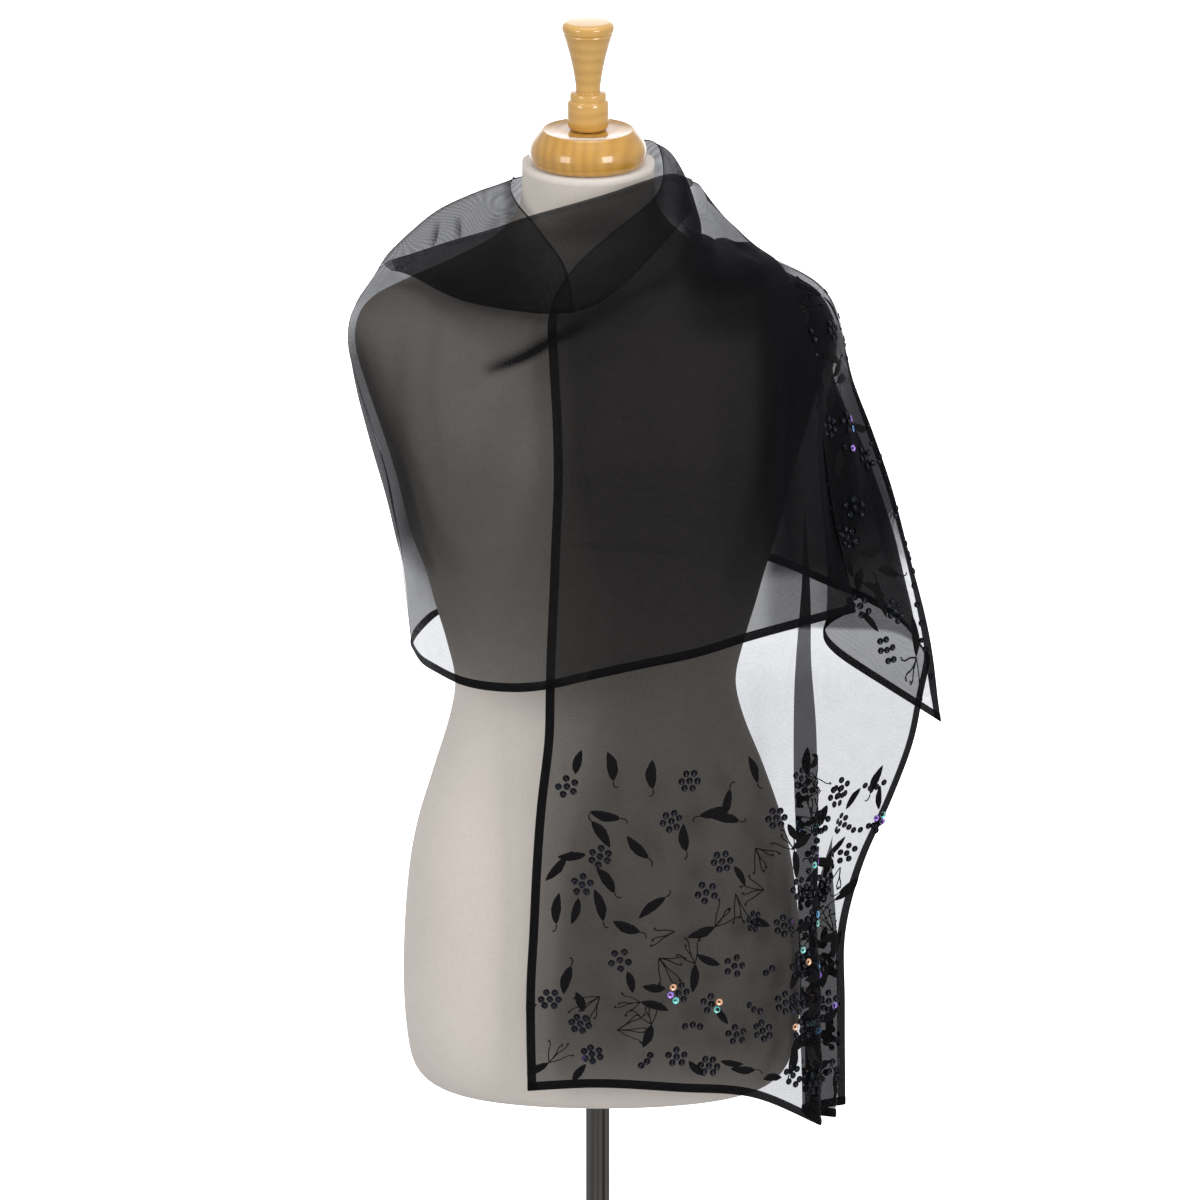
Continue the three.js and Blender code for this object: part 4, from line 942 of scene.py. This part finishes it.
# hems: a folded strip on both sides of the cloth along each cut edge
def strip(g, edge, depth, lift):
    """Rows of a hem along one edge of a grid: edge is 'u0', 'u1', 'v0' or 'v1'."""
    h = {"u0": g, "u1": g[::-1], "v0": np.swapaxes(g, 0, 1), "v1": np.swapaxes(g, 0, 1)[::-1]}[edge]
    n = outward(g)
    m = {"u0": n, "u1": n[::-1], "v0": np.swapaxes(n, 0, 1), "v1": np.swapaxes(n, 0, 1)[::-1]}[edge]
    k = min(9, len(h))
    rows = []
    for j in range(h.shape[1]):
        line = h[:k, j]
        run = lengths(line)
        at = np.array([0, 0.25, 0.5, 0.75, 1.0]) * min(depth, run[-1])
        q = np.stack([np.interp(at, run, line[:, c]) for c in range(3)], -1)
        nn = unit(np.stack([np.interp(at, run, m[:k, j, c]) for c in range(3)], -1))
        up = np.array([0.25, 1.0, 1.15, 1.0, 0.35]) * lift
        rows.append(q + nn * up[:, None])
    return np.swapaxes(np.array(rows), 0, 1)


# stretch, edge, rows kept (share of the length), depth: hems that lie in a crossover are rolled narrow
under_cowl = float(np.argmax(final["long"][:, 0, 2] > 1204)) / len(us_long)
HEMS = [("long", "u0", 0, 1, 7.6), ("long", "v0", 0, under_cowl, 7.6), ("long", "v0", under_cowl, 1, 2.0), ("long", "v1", 0, 1, 7.6), ("wrap", "v1", 0, 1, 7.6), ("chest", "v0", 0, 1, 1.6), ("cowl", "v1", 0, 1, 1.6), ("side", "u1", 0, 1, 7.6), ("side", "v1", 0, 1, 7.6)]
hv, hf, huv = [], [], []
start = 0
for key, edge, lo, hi, depth in HEMS:
    g = final[key]
    g = g[int(lo * len(g)): max(int(math.ceil(hi * len(g))), 2)]
    for lift in (0.7, -0.7):
        s = strip(g, edge, depth, lift if depth > 3 else lift * 0.5)
        nu, nv = s.shape[:2]
        hv.append(s.reshape(-1, 3))
        hf.append(grid_faces(nu, nv, start))
        run = lengths(s[2])
        huv.append(np.stack([np.repeat(run[None], nu, 0) * MM, np.repeat(np.linspace(0, HEM_DEPTH, nu)[:, None], nv, 1) * MM], -1).reshape(-1, 2))
        start += nu * nv
hv, hf, huv = np.concatenate(hv), np.concatenate(hf), np.concatenate(huv)
hems = mesh_object("stole_hems", hv, hf, [HEM])
# the inner hem is paler where it lies under the wrap
add_float(hems, "dens", -0.30 * step(hv[:, 2], 892, 906) * (np.abs(hv[:, 0] + 42) < 34) * (hv[:, 1] < 0))
add_float(hems, "moire", np.zeros(len(hv)))
layer = hems.data.uv_layers.new(name="cloth")
loops = np.zeros(len(hems.data.loops), int)
hems.data.loops.foreach_get("vertex_index", loops)
layer.data.foreach_set("uv", huv[loops].reshape(-1))

# ---------------------------------------------------------------- embroidery on both ends
class End:
    """One end of the stole as flat coordinates: s up from the short hem, t across, in millimetres."""

    def __init__(self, g, flip_s, flip_t):
        if flip_s:
            g = g[::-1]
        if flip_t:
            g = g[:, ::-1]
        n = outward(g)
        self.u = lengths(g.mean(1))
        rows = np.array([lengths(r) for r in g])
        self.width = float(np.median(rows[:, -1]))
        self.T = np.arange(0, int(rows[:, -1].max()) + 2.0)
        self.P = np.array([[np.interp(self.T, rows[i], g[i, :, k]) for k in range(3)] for i in range(len(g))]).transpose(0, 2, 1)
        self.N = unit(np.array([[np.interp(self.T, rows[i], n[i, :, k]) for k in range(3)] for i in range(len(g))]).transpose(0, 2, 1))

    def _at(self, A, s, t):
        x = np.interp(s, self.u, np.arange(len(self.u)))
        i = np.minimum(x.astype(int), len(self.u) - 2)
        a = (x - i)[:, None]
        y = np.clip(t, 0, len(self.T) - 1.001)
        j = y.astype(int)
        b = (y - j)[:, None]
        return (1 - a) * ((1 - b) * A[i, j] + b * A[i, j + 1]) + a * ((1 - b) * A[i + 1, j] + b * A[i + 1, j + 1])

    def put(self, s, t, h):
        s, t, h = (np.asarray(v, float) for v in (s, t, h))
        return self._at(self.P, s, t) + unit(self._at(self.N, s, t)) * h[:, None]


def turned_by(points, angle):
    c, s = math.cos(angle), math.sin(angle)
    p = np.asarray(points, float)
    return np.stack([p[:, 0] * c - p[:, 1] * s, p[:, 0] * s + p[:, 1] * c], -1)


class Stitcher:
    def __init__(self):
        self.v, self.f, self.uv, self.n = [], [], [], 0

    def add(self, v, f, uv):
        self.v.append(v)
        self.f += [tuple(i + self.n for i in q) for q in f]
        self.uv.append(uv)
        self.n += len(v)


def thread(out, end, at, pts, width=1.0, high=0.75):
    """A raised line of stitches along a path."""
    P = np.asarray(pts, float)
    run = lengths(np.column_stack([P, np.zeros(len(P))]))
    m = max(int(run[-1] / 1.3), 3)
    q = cr(P, np.interp(np.linspace(0, run[-1], m + 1), run, np.linspace(0, 1, len(P))))
    d = np.gradient(q, axis=0)
    d = d / np.maximum(np.linalg.norm(d, axis=1, keepdims=True), 1e-6)
    nn = np.stack([-d[:, 1], d[:, 0]], -1)
    cols = [(-0.5, 0.12), (-0.3, high), (0.3, high), (0.5, 0.12)]
    v, uv = [], []
    for a, h in cols:
        w = q + nn * a * width
        v.append(end.put(at[0] + w[:, 1], at[1] + w[:, 0], np.full(len(w), h)))
        uv.append(np.stack([np.linspace(0, run[-1], len(w)) * MM, np.full(len(w), a * width * MM)], -1))
    v, uv = np.concatenate(v), np.concatenate(uv)
    k = len(q)
    f = [(c * k + i, c * k + i + 1, (c + 1) * k + i + 1, (c + 1) * k + i) for c in range(3) for i in range(k - 1)]
    out.add(v, f, uv)


def leaf(out, end, at, angle, length, width, bend, stem, rng):
    """A pointed leaf in raised satin stitch with its own stem."""
    n = 11
    x = np.linspace(0, 1, n)
    half = width / 2 * np.sin(np.pi * x ** 0.92) ** 0.78
    mid = np.stack([x * length, bend * np.sin(np.pi * x)], -1)
    rows, hs = [], []
    for a, h in ((-1, 0.15), (-0.62, 0.85), (-0.08, 1.0), (0.0, 0.72), (0.08, 1.0), (0.62, 0.85), (1, 0.15)):
        jag = 1 + 0.08 * np.array([rng.uniform(-1, 1) for _ in range(n)]) * (abs(a) == 1)
        rows.append(mid + np.stack([np.zeros(n), half * a * jag], -1))
        hs.append(0.15 + (h - 0.15) * np.sin(np.pi * x) ** 0.4)
    v, uv = [], []
    for r, h in zip(rows, hs):
        p = turned_by(r, angle)
        v.append(end.put(at[0] + p[:, 1], at[1] + p[:, 0], h))
        uv.append(r * MM)
    v, uv = np.concatenate(v), np.concatenate(uv)
    f = [(c * n + i, c * n + i + 1, (c + 1) * n + i + 1, (c + 1) * n + i) for c in range(6) for i in range(n - 1)]
    out.add(v, f, uv)
    if stem:
        e = np.array([(0, 0), (-4, -0.8 * np.sign(bend)), (-8.5, 0.6 * np.sign(bend)), (-10.5, 3.2 * np.sign(bend)), (-9.2, 4.8 * np.sign(bend))])
        thread(out, end, at, turned_by(e * stem, angle))


def spray(out, end, at, angle, count, size, rng):
    """Thin lines that open like a fan, each with a small knot."""
    for k in range(count):
        a = angle + (k - (count - 1) / 2) * 0.34 + rng.uniform(-0.06, 0.06)
        ln = size * rng.uniform(0.75, 1.08)
        side = 1 if k % 2 else -1
        pts = turned_by([(0, 0), (ln * 0.45, side * 1.2), (ln * 0.85, side * 0.6), (ln, side * 2.0)], a)
        thread(out, end, at, pts, 0.95, 0.7)
        tip = turned_by([(ln, side * 2.0)], a)[0]
        ring = [(tip[0] + 1.1 * math.cos(w), tip[1] + 1.1 * math.sin(w)) for w in np.linspace(0, 2 * math.pi, 6)]
        thread(out, end, at, ring, 0.7, 0.8)


CUP = [(0.75, 0.25), (1.6, 0.38), (2.5, 0.72), (3.0, 1.12), (2.92, 1.22)]
CUP_SIDES = 14
BEAD = [(0.95, 0.3), (1.08, 0.7), (0.9, 1.12), (0.45, 1.4)]
BEAD_SIDES = 8


class Sequins:
    def __init__(self):
        self.cup, self.bead = Stitcher(), Stitcher()
        self.tone = []

    def add(self, end, s, t, tone, rng, size=1.0):
        lean = rng.uniform(0, 2 * math.pi)
        tip = rng.uniform(0.0, 0.10)
        for out, rings, sides in ((self.cup, CUP, CUP_SIDES), (self.bead, BEAD, BEAD_SIDES)):
            ss, tt, hh, uv = [], [], [], []
            for r, h in rings:
                for k in range(sides):
                    a = 2 * math.pi * k / sides
                    x, y = r * size * math.cos(a), r * size * math.sin(a)
                    ss.append(y)
                    tt.append(x)
                    hh.append(h + 0.2 + tip * (x * math.cos(lean) + y * math.sin(lean)))
                    uv.append((x * MM, y * MM))
            # stiff: laid on the cloth's slope at its middle
            c = end.put([s], [t], [0.0])[0]
            cx = end.put([s], [t + 2.0], [0.0])[0] - end.put([s], [t - 2.0], [0.0])[0]
            cy = end.put([s + 2.0], [t], [0.0])[0] - end.put([s - 2.0], [t], [0.0])[0]
            nn = end.put([s], [t], [1.0])[0] - c
            nn = nn / np.linalg.norm(nn)
            cx = unit(cx - nn * (cx @ nn))
            cy = np.cross(nn, cx) * (1 if np.cross(nn, cx) @ cy > 0 else -1)
            v = c + np.outer(tt, cx) + np.outer(ss, cy) + np.outer(hh, nn)
            f = []
            for q in range(len(rings) - 1):
                for k in range(sides):
                    a, b = q * sides + k, q * sides + (k + 1) % sides
                    f.append((a, b, b + sides, a + sides))
            if out is self.bead:
                f.append(tuple((len(rings) - 1) * sides + k for k in range(sides)))
            out.add(v, f, np.array(uv))
            if out is self.cup:
                self.tone += [tone] * len(v)


def berries(sq, out, end, at, count, radius, angle, rng, painted_glint):
    """Sequins in a ring round one in the middle."""
    sq.add(end, at[0], at[1], rng.uniform(0, 0.8), rng)
    for k in range(count):
        a = angle + 2 * math.pi * k / count + rng.uniform(-0.08, 0.08)
        x, y = radius * math.cos(a), radius * math.sin(a)
        # ring sequins given a tone from 0.86 up take one of the bright colours of the sequin material: painted glints
        tone = rng.choice([0.86, 0.90, 0.94, 0.98]) if (painted_glint and k < rng.choice([1, 2, 3])) else rng.uniform(0, 0.8)
        sq.add(end, at[0] + y, at[1] + x, tone, rng)


def chain(sq, out, end, at, count, angle, rng, painted_glint):
    """A short curved string of sequins."""
    for k in range(count):
        a = angle + 0.22 * k
        x, y = 6.9 * k * math.cos(a), 6.9 * k * math.sin(a)
        # the second sequin of a chain can carry a painted glint: a bright tone
        sq.add(end, at[0] + y, at[1] + x, painted_glint if (painted_glint and k == 1) else rng.uniform(0, 0.8), rng)


def embroider(end, s0, s1, t0, t1, seed, sq, out, pitch=33.0):
    rng = random.Random(seed)
    ns, nt = max(int((s1 - s0) / (pitch * 0.92)), 1), max(int((t1 - t0) / pitch), 1)
    plan = ["berries", "leaf", "berries", "leaf", "spray", "berries", "leaf", "chain", "berries", "spray_leaf", "leaf", "berries"]
    k = seed
    for i in range(ns):
        for j in range(nt):
            k += 5
            s = s0 + (i + 0.5) * (s1 - s0) / ns + rng.uniform(-6, 6)
            t = t0 + (j + 0.5 + (0.25 if i % 2 else -0.25)) * (t1 - t0) / nt + rng.uniform(-6, 6)
            if not (t0 + 3 < t < t1 - 3):
                continue
            kind = plan[k % len(plan)]
            if rng.random() < 0.25:
                kind = plan[(k + 7) % len(plan)]
            a = rng.uniform(0, 2 * math.pi)
            # a few motifs get a painted glint: a tone from 0.86 up that turns some of their sequins bright
            painted_glint = rng.choice([0.0] * 9 + [0.86, 0.94])
            at = (s, t)
            if kind == "berries":
                berries(sq, out, end, at, rng.choice([5, 6, 6]), rng.uniform(7.0, 7.5), a, rng, painted_glint)
                if rng.random() < 0.6:
                    d = turned_by([(12, 0)], a + 0.5)[0]
                    leaf(out, end, (s + d[1], t + d[0]), a + 0.5 + rng.uniform(-0.7, 0.7), rng.uniform(20, 25), rng.uniform(6.6, 8), rng.choice([-1, 1]), 0, rng)
            elif kind == "leaf":
                leaf(out, end, at, a, rng.uniform(25, 30), rng.uniform(7.8, 9.4), rng.choice([-1.4, 1.3]), 0.6, rng)
            elif kind == "pair":
                leaf(out, end, at, a, rng.uniform(20, 25), rng.uniform(6.4, 8.0), 2.2, 0.7, rng)
                leaf(out, end, at, a + rng.uniform(0.8, 1.2), rng.uniform(16, 21), rng.uniform(5.8, 7.0), -2.0, 0, rng)
            elif kind == "spray":
                spray(out, end, at, a, rng.choice([3, 4, 5]), rng.uniform(22, 29), rng)
            elif kind == "spray_leaf":
                spray(out, end, at, a, 4, 23, rng)
                leaf(out, end, at, a + 2.6, 26, 8.2, 1.2, 0, rng)
            else:
                chain(sq, out, end, at, rng.choice([2, 3, 4]), a, rng, painted_glint)


def thread_material():
    m, t, p = material("black_thread")
    uv = node(t, "ShaderNodeUVMap", uv_map="cloth")
    mp = node(t, "ShaderNodeMapping")
    mp.inputs["Scale"].default_value = (2600, 500, 1)
    mp.inputs["Rotation"].default_value = (0, 0, 0.45)
    t.links.new(uv.outputs[0], mp.inputs[0])
    st = node(t, "ShaderNodeTexNoise", {"Scale": 1.0, "Detail": 2.0, "Roughness": 0.5})
    t.links.new(mp.outputs[0], st.inputs["Vector"])
    col = ramp(t, st.outputs[0], [(0.3, (0.0015, 0.0015, 0.0018)), (0.7, (0.008, 0.008, 0.009))])
    t.links.new(col, p.inputs["Base Color"])
    p.inputs["Roughness"].default_value = 0.7
    p.inputs["Specular IOR Level"].default_value = 0.06
    p.inputs["Sheen Weight"].default_value = 0.004
    bump(t, p, st.outputs[0], 0.6, 0.0003)
    return m


def sequin_material():
    m, t, p = material("sequin")
    tone = node(t, "ShaderNodeAttribute", attribute_name="tone")
    co = node(t, "ShaderNodeTexCoord")
    nz = node(t, "ShaderNodeTexNoise", {"Scale": 260.0, "Detail": 1.0})
    t.links.new(co.outputs["Object"], nz.inputs["Vector"])
    v = maths(t, "MULTIPLY_ADD", nz.outputs[0], 0.05, maths(t, "SUBTRACT", tone.outputs["Fac"], 0.025))
    # tones up to 0.80 give near-black sequins of random tone; tones from 0.84 up give bright magenta, blue, teal and
    # orange: painted glints
    col = ramp(t, v, [(0.0, (0.0025, 0.0025, 0.004)), (0.35, (0.004, 0.005, 0.010)), (0.6, (0.009, 0.006, 0.012)), (0.80, (0.005, 0.009, 0.016)), (0.84, (0.55, 0.16, 0.75)), (0.89, (0.25, 0.45, 0.95)), (0.93, (0.10, 0.75, 0.72)), (0.97, (0.95, 0.55, 0.35))])
    t.links.new(col, p.inputs["Base Color"])
    p.inputs["Metallic"].default_value = 0.35
    p.inputs["Specular IOR Level"].default_value = 0.14
    r = maths(t, "MULTIPLY_ADD", nz.outputs[0], 0.08, 0.14)
    t.links.new(r, p.inputs["Roughness"])
    p.inputs["Coat Weight"].default_value = 0.10
    p.inputs["Coat Roughness"].default_value = 0.05
    bump(t, p, nz.outputs[0], 0.05, 0.0002)
    return m


def bead_material():
    m, t, p = material("bead")
    co = node(t, "ShaderNodeTexCoord")
    nz = node(t, "ShaderNodeTexNoise", {"Scale": 900.0, "Detail": 1.0})
    t.links.new(co.outputs["Object"], nz.inputs["Vector"])
    col = ramp(t, nz.outputs[0], [(0.3, (0.002, 0.002, 0.003)), (0.7, (0.012, 0.012, 0.016))])
    t.links.new(col, p.inputs["Base Color"])
    p.inputs["Roughness"].default_value = 0.14
    p.inputs["Specular IOR Level"].default_value = 0.4
    return m


THREAD, SEQUIN, BEADM = thread_material(), sequin_material(), bead_material()
FRONT_END = End(final["long"][: int(len(us_long) * 0.34)], False, False)
SIDE_END = End(final["side"], True, True)
stitches, sequin_set = Stitcher(), Sequins()
embroider(FRONT_END, 16, 300, 15, FRONT_END.width - 15, 4, sequin_set, stitches)
embroider(SIDE_END, 14, 330, 12, SIDE_END.width - 12, 9, sequin_set, stitches, 27.0)
# the gathered part is denser, and sequins sit along the outer edge of the side end
middle = FRONT_END.P[len(FRONT_END.P) // 3]
gathered = np.flatnonzero((middle[:, 0] > 158) & (middle[:, 0] < 214) & (np.arange(len(middle)) < FRONT_END.width - 14))
if len(gathered) > 30:
    embroider(FRONT_END, 20, 290, float(gathered[0]), float(gathered[-1]), 21, sequin_set, stitches, 30.0)
rng = random.Random(31)
for k in range(34):
    for t in (6.0, SIDE_END.width - 6.0):
        if rng.random() < 0.68:
            sequin_set.add(SIDE_END, 22 + 9.0 * k + rng.uniform(-3, 3), t + rng.uniform(-3.5, 3.5), rng.uniform(0, 0.8), rng, rng.uniform(0.75, 1.0))


def stitched(name, st, mat):
    v = np.concatenate(st.v)
    ob = mesh_object(name, v, st.f, [mat])
    uvp = np.concatenate(st.uv)
    lay = ob.data.uv_layers.new(name="cloth")
    lo = np.zeros(len(ob.data.loops), int)
    ob.data.loops.foreach_get("vertex_index", lo)
    lay.data.foreach_set("uv", uvp[lo].reshape(-1))
    return ob


embroidery = stitched("embroidery", stitches, THREAD)
sequins = stitched("sequins", sequin_set.cup, SEQUIN)
# each sequin's tone: a random dark tone, and on a few the bright tone of a painted glint
add_float(sequins, "tone", sequin_set.tone)
beads = stitched("sequin_beads", sequin_set.bead, BEADM)
print("embroidery", len(stitches.f), "sequins", len(sequin_set.cup.f) // ((len(CUP) - 1) * CUP_SIDES), "cloth faces", len(faces))

# ---------------------------------------------------------------- lights and floor
scene = bpy.context.scene
scene.view_settings.view_transform = "Standard"
scene.view_settings.look = "None"
scene.cycles.transparent_max_bounces = 32
world = bpy.data.worlds.new("studio")
scene.world = world
world.use_nodes = True
wt = world.node_tree
wt.nodes.clear()
wo = wt.nodes.new("ShaderNodeOutputWorld")
bg = wt.nodes.new("ShaderNodeBackground")
tc = wt.nodes.new("ShaderNodeTexCoord")
sx = wt.nodes.new("ShaderNodeSeparateXYZ")
wt.links.new(tc.outputs["Generated"], sx.inputs[0])
lift_ = maths(wt, "MULTIPLY", maths(wt, "SMOOTH_MIN", maths(wt, "MAXIMUM", maths(wt, "MULTIPLY_ADD", sx.outputs[1], 5.0, -3.9), 0.0), 1.0, 0.1), 1.62)
wt.links.new(maths(wt, "ADD", lift_, 0.60), bg.inputs["Strength"])
bg.inputs["Color"].default_value = (0.955, 0.966, 1.0, 1)
wt.links.new(bg.outputs[0], wo.inputs[0])


def area_light(name, loc, target, size, size_y, power, color=(1, 1, 1)):
    d = bpy.data.lights.new(name, "AREA")
    d.shape = "RECTANGLE"
    d.size, d.size_y = size, size_y
    d.energy = power
    d.color = color
    o = bpy.data.objects.new(name, d)
    o.location = loc
    o.rotation_euler = (Vector(target) - Vector(loc)).to_track_quat("-Z", "Y").to_euler()
    scene.collection.objects.link(o)
    return o


area_light("softbox_right", (1.7, -2.3, 1.9), (0, 0, 1.0), 1.0, 1.5, 39)
area_light("softbox_left", (-1.9, -1.9, 1.7), (0, 0, 1.0), 0.9, 1.4, 22)
area_light("top", (0.0, -0.6, 3.0), (0, 0, 1.0), 1.4, 1.0, 16)

fm, ft, fp = material("floor")
fn = node(ft, "ShaderNodeTexNoise", {"Scale": 3.0, "Detail": 3.0})
fc = ramp(ft, fn.outputs[0], [(0.3, (0.66, 0.66, 0.665)), (0.7, (0.70, 0.70, 0.705))])
ft.links.new(fc, fp.inputs["Base Color"])
fp.inputs["Roughness"].default_value = 0.7
n = 96
fv = [(0, 0, 0)] + [(1250 * math.cos(2 * math.pi * k / n), 1250 * math.sin(2 * math.pi * k / n), -0.4) for k in range(n)]
floor = mesh_object("floor", np.array(fv, float), [(0, 1 + k, 1 + (k + 1) % n) for k in range(n)], [fm])

# ---------------------------------------------------------------- pieces and bodies
CLOTH_NODES = ["stole_end_front", "stole_left_shoulder", "stole_back_wrap", "stole_front_wrap", "stole_cowl_fold", "stole_right_shoulder", "stole_end_side"]
for ob, nodes, slot in ((stole, CLOTH_NODES, "tulle"), (hems, (), "tulle"), (embroidery, (), "tulle"), (sequins, (), "tulle"), (beads, (), "tulle"), (body, ["dress_form_torso"], "linen"), (cap, ["neck_cap"], "wood"), (finial, ["finial"], "wood"), (pole, ["stand_pole"], "metal"), (base, ["stand_base"], "metal")):
    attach(ob, "root")
    if nodes:
        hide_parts(*nodes)

bpy.context.view_layer.update()
print("triangles", [(o.name, sum(len(q.vertices) - 2 for q in o.data.polygons)) for o in (stole, hems, embroidery, sequins, beads, body, cap, finial, pole, base)])
